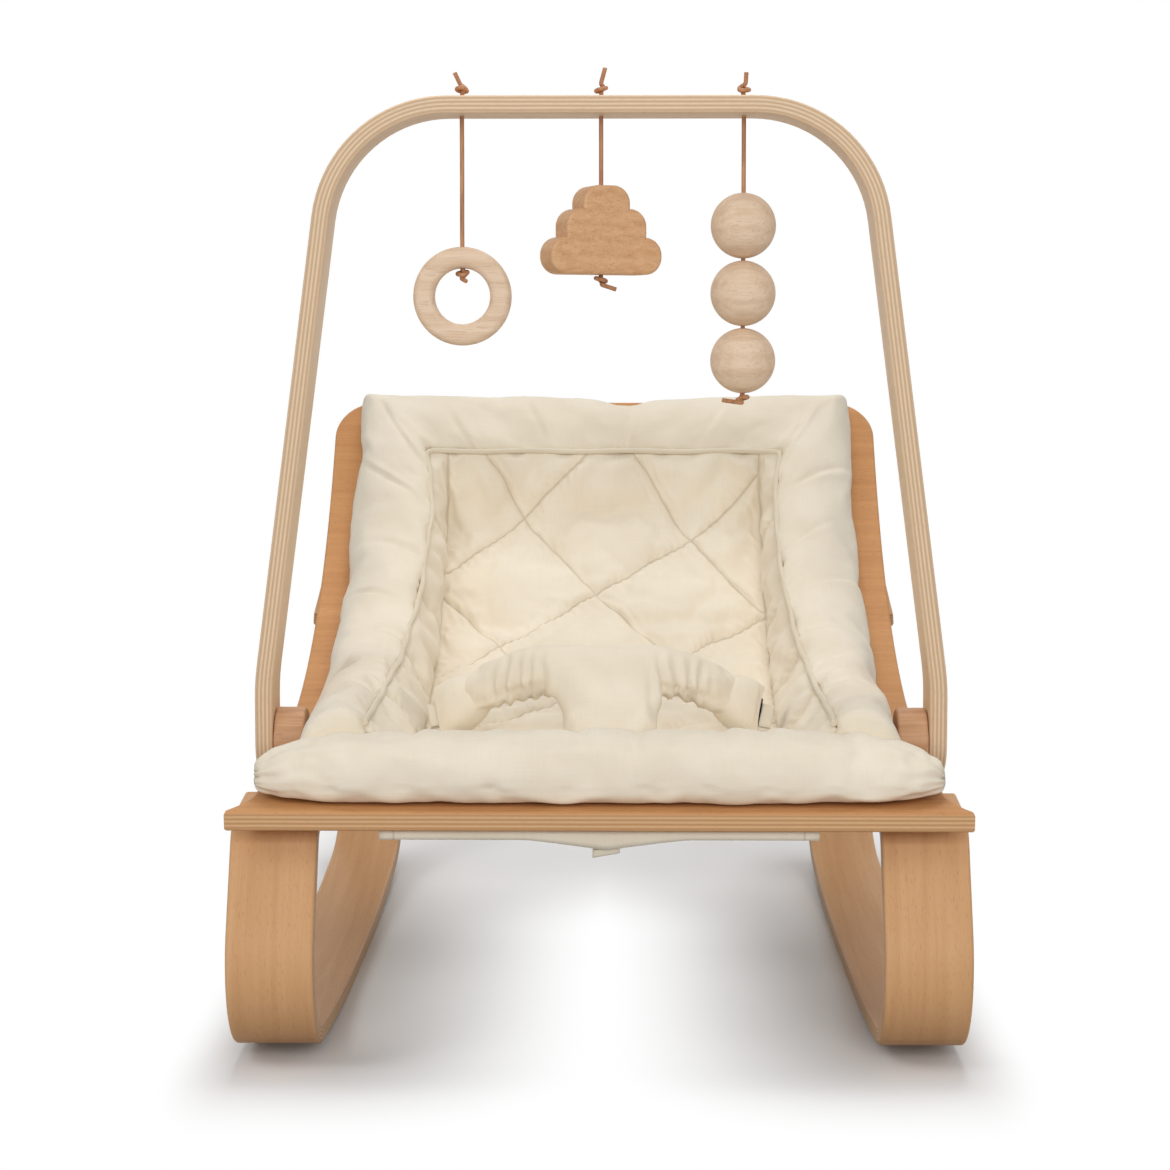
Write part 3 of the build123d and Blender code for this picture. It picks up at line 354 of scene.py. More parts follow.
# Plywood pieces: the CAD shapes with lengths along, across and into the layers
def keep_ply(name, node, body, material, coords):
    """Stand-in with the CAD node's own shape that knows where its layers lie."""
    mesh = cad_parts[node].data.copy()
    mesh.name = name
    piece = add_object(name, mesh)
    set_vectors(mesh, "ply", coords(get_points(mesh)))
    mesh.materials.clear()
    mesh.materials.append(material)
    mesh.polygons.foreach_set("material_index", [0] * len(mesh.polygons))
    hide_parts(node)
    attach(piece, body)


def frame_coords(points):
    # The outer veneer's grain runs from side to side all over the frame
    along, lift = sheet_coords(points)
    return np.stack([points[:, 0], along, np.clip(-lift, 0, FRAME_PLY)], axis=-1)


def arc(centre, radius, first, turn):
    return ("arc", np.array(centre), radius, first, turn)


def line(start, end):
    return ("line", np.array(start), np.array(end))


DEEPEST = 0.012  # past the thickness of any sheet here


def route_coords(points, route):
    """Length along a route of lines and arcs, and distance from it to the left, its inner side."""
    best = np.full(len(points), 1e9)
    along = np.zeros(len(points))
    depth = np.zeros(len(points))
    passed = 0.0
    for piece in route:
        if piece[0] == "line":
            start, end = piece[1], piece[2]
            length = np.linalg.norm(end - start)
            heading = (end - start) / length
            run = (points - start) @ heading
            inside = (points - start) @ np.array([-heading[1], heading[0]])
        else:
            _, centre, radius, first, turn = piece
            length = abs(turn) * radius
            away = points - centre
            angle = np.arctan2(away[:, 1], away[:, 0])
            sense = np.sign(turn)
            swept = (sense * (angle - first) + math.pi - abs(turn) / 2) % (2 * math.pi)
            swept = swept - math.pi + abs(turn) / 2
            run = swept * radius
            inside = sense * (radius - np.linalg.norm(away, axis=1))
        over = np.maximum(np.maximum(-run, run - length), 0)
        miss = over + np.maximum(-inside, 0) + np.maximum(inside - DEEPEST, 0)
        better = miss < best
        best = np.where(better, miss, best)
        along = np.where(better, passed + np.clip(run, 0, length), along)
        depth = np.where(better, np.clip(inside, 0, DEEPEST), depth)
        passed += length
    return along, depth


def circles_meet(first, first_radius, second, second_radius):
    """The rear one of the two points where two circles meet."""
    first, second = np.array(first), np.array(second)
    apart = np.linalg.norm(second - first)
    along = (apart**2 + first_radius**2 - second_radius**2) / (2 * apart)
    aside = math.sqrt(first_radius**2 - along**2)
    heading = (second - first) / apart
    square = np.array([-heading[1], heading[0]])
    return max(tuple(first + along * heading + sign * aside * square) for sign in (1, -1))


def angle_to(start, end):
    return math.atan2(end[1] - start[1], end[0] - start[0])


def reach(start, heading, length):
    return (start[0] + length * math.cos(heading), start[1] + length * math.sin(heading))


# The runner's outer side line in depth and height
CURL, NOSE, FLOOR, LOOP = 0.024, 0.052, 2.0, 0.145
CURL_FRONT, NOSE_FRONT = 0.019, -0.004
FRONT_FLANGE, REAR_FLANGE = 0.082, 0.070
LAND = (0.225, 0.305)
UNDER_LIFT = BAR_TOP - FRAME_PLY / math.cos(SEAT_SLOPE)
bend_depth = CURL_FRONT + CURL
curl_centre = (bend_depth, UNDER_LIFT + bend_depth * math.tan(SEAT_SLOPE) - CURL / math.cos(SEAT_SLOPE))
nose_centre = (
    NOSE_FRONT + NOSE,
    FLOOR - math.sqrt((FLOOR - NOSE) ** 2 - (LAND[0] - NOSE_FRONT - NOSE) ** 2),
)
under_radius = BACK_RADIUS + FRAME_PLY
loop_centre = circles_meet((LAND[1], FLOOR), FLOOR - LOOP, BEND_CENTRE, under_radius + LOOP)
spread = math.acos((CURL - NOSE) / math.dist(curl_centre, nose_centre))
leg_normal = 2 * math.pi + angle_to(curl_centre, nose_centre) - spread
nose_end = 2 * math.pi + angle_to((LAND[0], FLOOR), nose_centre)
loop_start = angle_to((LAND[1], FLOOR), loop_centre)
loop_end = math.pi + angle_to(BEND_CENTRE, loop_centre)
flange_start = angle_to(BEND_CENTRE, loop_centre)
quarter = math.pi / 2
curl_start = quarter + SEAT_SLOPE
runner_route = [
    line((FRONT_FLANGE, UNDER_LIFT + FRONT_FLANGE * math.tan(SEAT_SLOPE)), reach(curl_centre, curl_start, CURL)),
    arc(curl_centre, CURL, curl_start, leg_normal - curl_start),
    line(reach(curl_centre, leg_normal, CURL), reach(nose_centre, leg_normal, NOSE)),
    arc(nose_centre, NOSE, leg_normal, nose_end - leg_normal),
    arc((LAND[0], FLOOR), FLOOR, nose_end, 3 * quarter - nose_end),
    line((LAND[0], 0), (LAND[1], 0)),
    arc((LAND[1], FLOOR), FLOOR, -quarter, loop_start + quarter),
    arc(loop_centre, LOOP, loop_start, loop_end - loop_start),
    arc(BEND_CENTRE, under_radius, flange_start, -REAR_FLANGE / under_radius),
]


def runner_coords(points):
    flat = np.stack([points[:, 1] + MIDDLE, points[:, 2]], axis=-1)
    along, depth = route_coords(flat, runner_route)
    return np.stack([along, points[:, 0], depth], axis=-1)


# The bow's outer front line, right foot up and over to the left foot
BOW_CORNER, BOW_KNEE, BOW_FOOT = 0.080, 0.150, 0.2055
BOW_FLAT, BOW_LOW, BOW_LEAN = 0.090, 0.14, math.radians(7.5)
corner_centre = (BOW_FLAT, BOW_TOP - BOW_CORNER)
leg_top = reach(corner_centre, BOW_LEAN, BOW_CORNER)
leg_run = (BOW_FOOT - BOW_KNEE + BOW_KNEE * math.cos(BOW_LEAN) - leg_top[0]) / math.sin(BOW_LEAN)
leg_low = reach(leg_top, BOW_LEAN - quarter, leg_run)
knee_centre = reach(leg_low, BOW_LEAN + math.pi, BOW_KNEE)


def mirror(point):
    return (-point[0], point[1])


bow_route = [
    line((BOW_FOOT, BOW_LOW), (BOW_FOOT, knee_centre[1])),
    arc(knee_centre, BOW_KNEE, 0.0, BOW_LEAN),
    line(leg_low, leg_top),
    arc(corner_centre, BOW_CORNER, BOW_LEAN, quarter - BOW_LEAN),
    line((BOW_FLAT, BOW_TOP), (-BOW_FLAT, BOW_TOP)),
    arc(mirror(corner_centre), BOW_CORNER, quarter, quarter - BOW_LEAN),
    line(mirror(leg_top), mirror(leg_low)),
    arc(mirror(knee_centre), BOW_KNEE, math.pi - BOW_LEAN, BOW_LEAN),
    line((-BOW_FOOT, knee_centre[1]), (-BOW_FOOT, BOW_LOW)),
]


def bow_coords(points):
    along, depth = route_coords(points[:, [0, 2]], bow_route)
    return np.stack([along, points[:, 1], depth], axis=-1)


keep_ply("seat_ring", "seat_frame", "rocker", FRAME_WOOD, frame_coords)
keep_ply("runner_left", "left_runner", "rocker", RUNNER_WOOD, runner_coords)
keep_ply("runner_right", "right_runner", "rocker", RUNNER_WOOD, runner_coords)
keep_ply("toy_bow", "arch_bow", "bow", BOW_WOOD, bow_coords)


# Hard CAD pieces that keep their shape and get a better finish
def dress(material, *names):
    for name in names:
        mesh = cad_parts[name].data
        mesh.materials.clear()
        mesh.materials.append(material)


dress(PEG_WOOD, "left_clip_peg", "right_clip_peg")
dress(TOY_WOOD, "wooden_ring", "bead_top", "bead_middle", "bead_bottom")
dress(CLOUD_WOOD, "wooden_cloud")
dress(STEEL, "front_runner_bolts", "rear_runner_bolts", "bow_screws")
dress(BRASS, "frame_inserts")
dress(BLACK, "left_strap_buckle", "right_strap_buckle")


# Leather laces and their knots
def lace_curve(name, points, radius=CORD / 2, material=LEATHER):
    data = bpy.data.curves.new(name, "CURVE")
    data.dimensions = "3D"
    data.bevel_depth = radius
    data.bevel_resolution = 4
    data.resolution_u = 10
    data.use_fill_caps = True
    spline = data.splines.new("NURBS")
    spline.points.add(len(points) - 1)
    for point, place in zip(spline.points, points):
        point.co = (*place, 1.0)
    spline.order_u = 3
    spline.use_endpoint_u = True
    data.materials.append(material)
    return add_object(name, data)


# One overhand knot, in cord widths: up from below, once round, through, and out
KNOT_SHAPE = (
    (0.0, 0.0, -1.2), (0.0, 0.0, 0.4), (0.9, -0.5, 1.3), (0.4, -1.25, 1.6), (-0.9, -0.9, 1.5),
    (-1.25, 0.4, 1.2), (-0.2, 1.3, 0.9), (1.1, 0.8, 0.8), (1.2, -0.5, 1.0), (0.3, -0.7, 1.9),
    (-0.3, 0.2, 2.3),
)
TOP_TAILS = {"ring": (-1.6, 0.4, 5.0), "cloud": (0.9, 0.4, 6.0), "bead": (0.5, -0.3, 5.0)}
LOW_TAILS = {"ring": (0.9, -1.0, 3.0), "cloud": (3.4, -1.2, 3.4), "bead": (-4.6, -1.4, 1.6)}
TOP_TURN, LOW_TURN = 1.9, 2.3
TOP_SEAT, LOW_SEAT = 0.0018, 0.0004
LACE_TOP, LACE_LOW = BAR_UNDER - 0.0004, -0.001
SWAY, SWAY_REACH = 0.0001, 0.02


def knot_points(base, tail, flip, turn):
    """The knot's route at a place, upside down under a toy, with its tail."""
    spin = Matrix.Rotation(turn, 3, "Z")
    route = [spin @ Vector(point) for point in KNOT_SHAPE]
    last = route[-1]
    tail = Vector(tail)
    route.append(last + (tail - last) * 0.45)
    route.append(tail)
    result = []
    for point in route:
        height = -point.z if flip else point.z
        result.append(Vector(base) + Vector((point.x, point.y, height)) * CORD)
    return result


for index, (toy, x) in enumerate(TOYS.items()):
    top, low = LACE_TOP, KNOT_TOPS[toy] + LACE_LOW
    over = (x, TOY_Y, BOW_TOP + TOP_SEAT)
    under = (x, TOY_Y, KNOT_TOPS[toy] + LOW_SEAT)
    above = lace_curve(toy + "_knot_above", knot_points(over, TOP_TAILS[toy], False, TOP_TURN * index))
    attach(above, "bow")
    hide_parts(toy + "_top_knot")
    below = lace_curve(toy + "_knot_below", knot_points(under, LOW_TAILS[toy], True, LOW_TURN * index))
    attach(below, toy + "_line")
    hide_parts(toy + "_bottom_knot")
    middle = (top + low) / 2
    bends = [(x + SWAY, TOY_Y, middle + SWAY_REACH), (x - SWAY, TOY_Y, middle - SWAY_REACH)]
    run = lace_curve(toy + "_lace", [(x, TOY_Y, top), *bends, (x, TOY_Y, low)])
    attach(run, toy + "_line")
    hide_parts(toy + "_cord")


# Soft pieces: grids of cloth that are swollen between their seams
def grid_faces(rows, columns, closed, flip, caps, start=0):
    """Faces between neighbouring places of a grid, closed round its columns if asked."""
    faces = []
    for row in range(rows - 1):
        for column in range(columns if closed else columns - 1):
            beside = (column + 1) % columns
            faces.append([row * columns + column, row * columns + beside])
            faces[-1] += [(row + 1) * columns + beside, (row + 1) * columns + column]
    if caps:
        faces.append(list(range(columns))[::-1])
        faces.append([(rows - 1) * columns + column for column in range(columns)])
    return [[start + corner for corner in (face[::-1] if flip else face)] for face in faces]


def soft_piece(name, points, faces, cloth, material=COTTON, slot_name="cotton"):
    """Smooth mesh piece on the rocker that knows the lengths of its cloth and its seams."""
    mesh = bpy.data.meshes.new(name)
    mesh.from_pydata(points.reshape(-1, 3).tolist(), [], faces)
    set_vectors(mesh, "cloth", cloth.reshape(-1, 3))
    mesh.polygons.foreach_set("use_smooth", [True] * len(mesh.polygons))
    mesh.materials.append(material)
    piece = add_object(name, mesh)
    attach(piece, "rocker")
    return piece


def cloth_piece(name, points, cloth, closed=False, flip=False, caps=False, **looks):
    rows, columns = points.shape[:2]
    return soft_piece(name, points, grid_faces(rows, columns, closed, flip, caps), cloth, **looks)


def cloth_grid(across, along, gap):
    """Lengths of cloth and distances to its seams, for a grid of places."""
    return np.stack(np.broadcast_arrays(across, along, gap), axis=-1)


def get_cloth(mesh):
    return get_vectors(mesh.attributes["cloth"].data)


def waver(points, size, seed):
    return np.array([noise.noise(Vector(point) / size + Vector((seed, 0, 0))) for point in points])


def roughen(points, size, amount, seed):
    """Small uneven shifts, so that cloth doesn't fold in one even pattern."""
    start = Vector((seed, 0, 0))
    shifts = [noise.noise_vector(Vector(point) / size + start) for point in points.reshape(-1, 3)]
    return points + amount * np.array(shifts).reshape(points.shape)


CLOTH_SETTINGS = {
    "quality": 4, "mass": 0.3, "vertex_group_mass": "held", "pin_stiffness": 1.0, "tension_stiffness": 18,
    "compression_stiffness": 18, "shear_stiffness": 6, "bending_stiffness": 0.4, "use_pressure": True,
}
SWELL_FRAMES = 20
swelling = []


def swell(piece, pins, pressure, growth, limit):
    """Marks a piece for the cloth run, with how firmly each place is held."""
    group = piece.vertex_groups.new(name="held")
    for index, weight in enumerate(pins):
        if weight > 0:
            group.add([index], float(weight), "REPLACE")
    cloth = piece.modifiers.new("swell", "CLOTH")
    for key, value in CLOTH_SETTINGS.items():
        setattr(cloth.settings, key, value)
    cloth.settings.uniform_pressure_force = pressure
    cloth.settings.shrink_min = -growth
    cloth.settings.effector_weights.gravity = 0
    cloth.collision_settings.use_collision = False
    cloth.point_cache.frame_start = 1
    cloth.point_cache.frame_end = SWELL_FRAMES
    swelling.append((piece, limit))


def settle():
    """Runs all marked pieces together and keeps the result, with each shift under its limit."""
    for number in range(1, SWELL_FRAMES + 1):
        scene.frame_set(number)
    graph = bpy.context.evaluated_depsgraph_get()
    results = [get_points(piece.evaluated_get(graph).data) for piece, _ in swelling]
    for (piece, limit), result in zip(swelling, results):
        start = get_points(piece.data)
        shift = np.nan_to_num(result - start)
        length = np.maximum(np.linalg.norm(shift, axis=1, keepdims=True), 1e-9)
        shift *= limit * np.tanh(length / limit) / length
        piece.modifiers.clear()
        piece.vertex_groups.clear()
        set_points(piece.data, start + shift)
    scene.frame_set(1)
    swelling.clear()


def keep_modifiers(piece):
    """Puts what the modifiers make into the mesh itself."""
    graph = bpy.context.evaluated_depsgraph_get()
    made = piece.evaluated_get(graph)
    mesh = bpy.data.meshes.new_from_object(made, preserve_all_data_layers=True, depsgraph=graph)
    old = piece.data
    piece.modifiers.clear()
    piece.data = mesh
    bpy.data.meshes.remove(old)


def refine(piece):
    modifier = piece.modifiers.new("finer", "SUBSURF")
    modifier.levels = 1
    modifier.render_levels = 1
    keep_modifiers(piece)


def thicken(piece, thickness):
    modifier = piece.modifiers.new("thick", "SOLIDIFY")
    modifier.thickness = thickness
    modifier.offset = -1
    keep_modifiers(piece)


def even_ring(corners, count, closed=True):
    """Evenly spaced places on a smooth line through corner places."""
    corners = np.array(corners, dtype=float)
    total = len(corners)
    fine = []
    for index in range(total if closed else total - 1):
        near = [index + shift for shift in (-1, 0, 1, 2)]
        near = [place % total if closed else min(max(place, 0), total - 1) for place in near]
        a, b, c, d = corners[near]
        for t in np.linspace(0, 1, 12, endpoint=False):
            fine.append(
                0.5 * (2 * b + (c - a) * t + (2 * a - 5 * b + 4 * c - d) * t**2 + (3 * b - a - 3 * c + d) * t**3)
            )
    fine.append(corners[0] if closed else corners[-1])
    fine = np.array(fine)
    passed = np.concatenate([[0], np.cumsum(np.linalg.norm(np.diff(fine, axis=0), axis=1))])
    marks = np.linspace(0, passed[-1], count + 1)[:-1] if closed else np.linspace(0, passed[-1], count)
    return np.stack([np.interp(marks, passed, fine[:, axis]) for axis in range(fine.shape[1])], axis=-1)


def step_up(value, low, high):
    share = np.clip((value - low) / (high - low), 0, 1)
    return share * share * (3 - 2 * share)


PANEL_START = 0.0700
PANEL_END = 0.4870
PANEL_SIDE = 0.1085
RIM_LIFT = 0.0325
TOP_PLACE = 0.5195
TOP_HALF = 0.0310
SIDE_OUT = 0.1725
SIDE_HALF = 0.023


def rim_x(along):
    """Half the distance between the corded seams: drawn in at the waist of the panel."""
    places = (0.06, 0.12, 0.20, 0.27, 0.335, 0.420, 0.465, 0.487, 0.56)
    halves = (0.133, 0.1315, 0.1280, 0.1240, 0.1200, 0.1175, 0.1200, 0.1240, 0.1240)
    return np.interp(along, places, halves)


# Border roll: both sides and the top in one, mitred at the corners.
# Section as share across (1 is the outside) and lift off the sheet, inner seam first
ROLL_SECTION = (
    (-1.0, 0.0320), (-0.78, 0.0395), (-0.3, 0.0430), (0.2, 0.0410), (0.64, 0.0340), (0.92, 0.0230),
    (1.0, 0.0120), (0.90, 0.0035), (0.5, 0.0012), (-0.4, 0.0012), (-0.92, 0.0016), (-0.99, 0.0140),
)
ROUND = 44
SIDE_ROWS, TOP_ROWS = 92, 60
SIDE_START = 0.060
SIDE_RUN, TOP_RUN, ROLL_GIRTH = 0.46, 0.30, 0.155
TOP_SAG, TOP_SINK = 0.005, 0.10
SEAM_COVER = 0.004  # the corded seam covers the roll's own stitches
ring = even_ring([(w * SIDE_HALF, lift) for w, lift in ROLL_SECTION], ROUND)
ring_w, ring_lift = ring[:, 0] / SIDE_HALF, ring[:, 1]
ring_length = np.linspace(0, ROLL_GIRTH, ROUND, endpoint=False)
mitre = TOP_PLACE + ring_w * TOP_HALF
side_share = np.linspace(0, 1, SIDE_ROWS)
top_share = np.linspace(0, 1, TOP_ROWS + 2)[1:-1]
sag = TOP_SAG * np.sin(math.pi * top_share) ** 0.5
side_along = SIDE_START + side_share[:, None] * (mitre - SIDE_START)
top_along = mitre - sag[:, None] * (ring_w + 1) / 2
roll_along = np.concatenate([side_along, top_along, side_along[::-1]])
sideways = np.concatenate([-np.ones(SIDE_ROWS), 2 * top_share - 1, np.ones(SIDE_ROWS)])
inner_seam = rim_x(roll_along)
roll_x = sideways[:, None] * (inner_seam + (SIDE_OUT - inner_seam) * (ring_w + 1) / 2)
top_run = SIDE_RUN + TOP_RUN * top_share
roll_run = np.concatenate([SIDE_RUN * side_share, top_run, 2 * SIDE_RUN + TOP_RUN - SIDE_RUN * side_share[::-1]])
roll_lift = np.repeat(ring_lift[None, :], len(roll_along), axis=0)
roll_lift[SIDE_ROWS:-SIDE_ROWS] *= 1 - TOP_SINK * np.sin(np.linspace(0, math.pi, TOP_ROWS))[:, None] ** 0.5
roll_lift[:, 0] = ring_lift[0]
roll_held = (roll_lift < 0.0025) | (np.arange(ROUND)[None, :] == 0)
roll_held[:2] = True
roll_held[-2:] = True
roll_points = roughen(sheet_points(roll_x, roll_along, roll_lift), 0.034, 0.0012, 3.0)
seam_gap = np.minimum(ring_length, ROLL_GIRTH - ring_length)
roll_cloth = cloth_grid(ring_length[None, :], roll_run[:, None], SEAM_COVER + seam_gap[None, :])
border = cloth_piece("border_roll", roll_points, roll_cloth, closed=True, caps=True, flip=True)
swell(border, roll_held.ravel(), 3.0, 0.018, 0.005)

# Front roll: a pillow with drawn-in ends
FRONT_SECTION = (
    (-1.0, 0.0120), (-0.92, 0.0210), (-0.6, 0.0290), (-0.1, 0.0325), (0.4, 0.0310), (0.8, 0.0240),
    (1.0, 0.0150), (0.95, 0.0060), (0.6, 0.0012), (0.0, 0.0012), (-0.6, 0.0012), (-0.92, 0.0035),
)
FRONT_PLACE, FRONT_HALF, FRONT_REACH, FRONT_GIRTH = 0.036, 0.030, 0.1925, 0.17
FRONT_LOW, END_LIFT = 0.0012, 0.006
front_ring = even_ring([(w * FRONT_HALF, lift) for w, lift in FRONT_SECTION], ROUND)[None]
end_x = np.linspace(0.160, 0.1915, 10)
front_x = np.concatenate([-end_x[::-1], np.linspace(-0.155, 0.155, 64), end_x])[:, None]
draw = np.maximum(1 - (np.abs(front_x) / FRONT_REACH) ** 7, 0) ** 0.55
front_along = FRONT_PLACE + front_ring[..., 0] * (0.25 + 0.75 * draw)
front_lift = FRONT_LOW + (front_ring[..., 1] - FRONT_LOW) * (0.2 + 0.8 * draw)
front_lift += END_LIFT * (1 - draw)
front_held = np.broadcast_to(front_ring[..., 1] < 0.0022, front_lift.shape).copy()
front_held[[0, -1]] = True
front_points = roughen(sheet_points(front_x, front_along, front_lift), 0.032, 0.0012, 9.0)
front_cloth = cloth_grid(front_x, np.linspace(0, FRONT_GIRTH, ROUND)[None, :], 0.02)
front_roll = cloth_piece("front_roll", front_points, front_cloth, closed=True, caps=True, flip=True)
swell(front_roll, front_held.ravel(), 2.6, 0.018, 0.004)

# Seat panel with its side walls; the quilting runs in two slants that cross at one place
QUILT_X, QUILT_ALONG = -0.004, 0.376
DOWN_SLANT, DOWN_STEP = 1.4, 0.103
UP_SLANT, UP_STEP = 0.85, 0.115
WALL_SEAM, WALL_STEP = 0.335, 0.090


def line_gap(value, step):
    """Distance to the nearest of evenly spaced lines, one of them at zero."""
    return np.abs((value + step / 2) % step - step / 2)


def panel_gap(flat, along):
    """Distance to the nearest seam of the panel or its side walls."""
    down = (along - QUILT_ALONG + DOWN_SLANT * (flat - QUILT_X)) / DOWN_SLANT
    down = line_gap(down, DOWN_STEP) * DOWN_SLANT / math.hypot(1, DOWN_SLANT)
    up = along - QUILT_ALONG - UP_SLANT * (flat - QUILT_X)
    up = line_gap(up, UP_STEP) / math.hypot(1, UP_SLANT)
    outside = np.abs(flat) - PANEL_SIDE
    side = np.abs(outside)
    across = line_gap(along - WALL_SEAM, WALL_STEP)
    return np.where(outside < 0, np.minimum(np.minimum(down, up), side), np.minimum(across, side))


DIP = 0.009
CROWN = 0.0055
TOP_RISE = 0.045
SEAM_LIFT = RIM_LIFT + 0.0005


def panel_dip(along):
    """Lift of the panel's middle line, lowest half-way."""
    share = np.clip((along - PANEL_START) / (PANEL_END - PANEL_START), 0, 1)
    return DIP - DIP * np.sin(math.pi * share)


def panel_lift(x, along):
    base = panel_dip(along) - CROWN * (x / PANEL_SIDE) ** 2
    lift = base + (SEAM_LIFT - base) * step_up(along, PANEL_END - TOP_RISE, PANEL_END) ** 0.9
    return lift - 0.6 * np.maximum(along - PANEL_END, 0)


TUCK = 0.014  # the panel's top goes on under the top roll
wall = np.linspace(0, 1, 9)[1:]
along_rows = np.linspace(PANEL_START - 0.006, PANEL_END + TUCK, 112)
inner_x = np.linspace(-PANEL_SIDE, PANEL_SIDE, 57)
panel_rows, flat_rows = [], []
for along in along_rows:
    middle_lift = panel_lift(inner_x, along)
    edge = middle_lift[-1]
    wall_wide = float(rim_x(along)) - PANEL_SIDE
    wall_x = PANEL_SIDE + wall_wide * wall**1.1
    wall_lift = edge + (SEAM_LIFT - edge) * wall**0.9
    wall_flat = PANEL_SIDE + math.hypot(wall_wide, RIM_LIFT - edge) * wall
    x = np.concatenate([-wall_x[::-1], inner_x, wall_x])
    lift = np.concatenate([wall_lift[::-1], middle_lift, wall_lift])
    panel_rows.append(sheet_points(x, along, lift))
    flat_rows.append(np.concatenate([-wall_flat[::-1], inner_x, wall_flat]))
panel_flat, panel_along = np.array(flat_rows), along_rows[:, None]
panel_cloth = cloth_grid(panel_flat, panel_along, panel_gap(panel_flat, panel_along))
panel_held = panel_cloth[..., 2] < 0.0022
panel_held[0] = True
panel_held[along_rows > PANEL_END] = True
panel_held[:, [0, -1]] = True
panel = cloth_piece("seat_panel", roughen(np.array(panel_rows), 0.02, 0.001, 5.0), panel_cloth)
swell(panel, panel_held.ravel(), 9.0, 0.05, 0.011)


# Harness: a post between the legs that widens into a band across the waist
def section(half_up, half_thick, count=30):
    """Rounded outline as lengths up the pad and off its face."""
    turn = np.linspace(0, 2 * math.pi, count, endpoint=False)
    up = half_up * np.sign(np.cos(turn)) * np.abs(np.cos(turn)) ** 0.75
    off = half_thick * np.sign(np.sin(turn)) * np.abs(np.sin(turn)) ** 0.8
    return up, off


def unit(vector):
    return vector / np.linalg.norm(vector)


def heading_at(route, index):
    return unit(route[min(index + 1, len(route) - 1)] - route[max(index - 1, 0)])


WING_STOPS = (
    (-0.088, 0.157, 0.1845), (-0.062, 0.144, 0.200), (-0.035, 0.132, 0.208), (0.003, 0.128, 0.2090),
    (0.037, 0.132, 0.208), (0.062, 0.144, 0.200), (0.088, 0.157, 0.1845),
)
WING_ROWS, POST_ROWS, PAD_ROUND = 60, 22, 30
WING_UP, WING_THICK, POST_WIDE, POST_SPREAD, POST_THICK = 0.0155, 0.0110, 0.0290, 0.013, 0.0105
FOOT_ALONG = 0.097
ACROSS = np.array([1.0, 0, 0])
LEAN = np.array([0, math.cos(math.radians(60)), math.sin(math.radians(60))])
wing_line = even_ring(WING_STOPS, WING_ROWS, closed=False) - np.array([0, MIDDLE, 0])


def wing_axes(index):
    """Heading along the band, way up its face and way out of its face."""
    heading = heading_at(wing_line, index)
    upward = unit(LEAN - heading * (LEAN @ heading))
    return heading, upward, np.cross(heading, upward)


wing_rows, hole_seam = [], []
for index, place in enumerate(wing_line):
    heading, upward, face = wing_axes(index)
    slim = 1 - 0.14 * step_up(abs(place[0]), 0.058, 0.086)
    up, off = section(WING_UP * slim, WING_THICK * slim)
    wing_rows.append(place + up[:, None] * upward + off[:, None] * face)
    if abs(place[0]) > 0.030:
        hole_seam.append(place - 0.0125 * upward + 0.0085 * face)
post_stops = [
    sheet_points(0.006, FOOT_ALONG, -0.003),
    np.array([0.006, 0.105 - MIDDLE, 0.181]),
    np.array([0.004, 0.1195 - MIDDLE, 0.196]),
    np.array([0.004, 0.1300 - MIDDLE, 0.210]),
]
post_line = even_ring(post_stops, POST_ROWS, closed=False)
post_rows = []
for index, place in enumerate(post_line):
    face = np.cross(ACROSS, heading_at(post_line, index))
    wide, off = section(POST_WIDE + POST_SPREAD * step_up(index / (POST_ROWS - 1), 0.45, 1.0), POST_THICK)
    post_rows.append(place + wide[:, None] * ACROSS + off[:, None] * face)
harness_points = np.concatenate(wing_rows + post_rows)
harness_faces = grid_faces(WING_ROWS, PAD_ROUND, True, True, True)
harness_faces += grid_faces(POST_ROWS, PAD_ROUND, True, False, True, WING_ROWS * PAD_ROUND)
harness = soft_piece("harness", harness_points, harness_faces, np.zeros((len(harness_points), 3)))
remesh = harness.modifiers.new("whole", "REMESH")
remesh.mode = "VOXEL"
remesh.voxel_size = 0.0042
remesh.use_smooth_shade = True
soften = harness.modifiers.new("soften", "SMOOTH")
soften.factor = 0.5
soften.iterations = 7
keep_modifiers(harness)
harness_start = roughen(get_points(harness.data), 0.016, 0.0012, 2.0)
set_points(harness.data, harness_start)
foot_height = sheet_points(0.0, FOOT_ALONG, 0.0)[2]
harness_held = (np.abs(harness_start[:, 0]) > 0.080) | (harness_start[:, 2] < foot_height + 0.004)
swell(harness, harness_held, 3.0, 0.04, 0.006)

settle()
# The panel comes twice, because its narrow seams need the finest mesh
for piece in (border, front_roll, panel, harness, panel):
    refine(piece)


# Creases, seams and gathers, once the cloth has its shape
def push(piece, amounts):
    mesh = piece.data
    set_points(mesh, get_points(mesh) + amounts[:, None] * get_vectors(mesh.vertex_normals))


def dip(distance, width):
    return np.exp(-((distance / width) ** 2))


def ripples(length, pitch, uneven):
    return np.sin(length * 2 * math.pi / pitch + uneven)


def crease(cloth, across, along, length, slant, depth, width):
    """A fold running across a roll at a place along it, with a small ridge beside it."""
    away = cloth[:, 1] - along - slant * (cloth[:, 0] - across)
    fold = 0.55 * dip(away - 1.9 * width, 1.5 * width) - dip(away, width)
    return dip(cloth[:, 0] - across, length) * fold * depth


def lay_on_frame(piece, half_wide=math.inf):
    """Lifts what has sunk into the frame, and keeps a piece to its width."""
    points = get_points(piece.data)
    along, lift = sheet_coords(points)
    x = np.clip(points[:, 0], -half_wide, half_wide)
    set_points(piece.data, sheet_points(x, along, np.maximum(lift, 0.0009)))


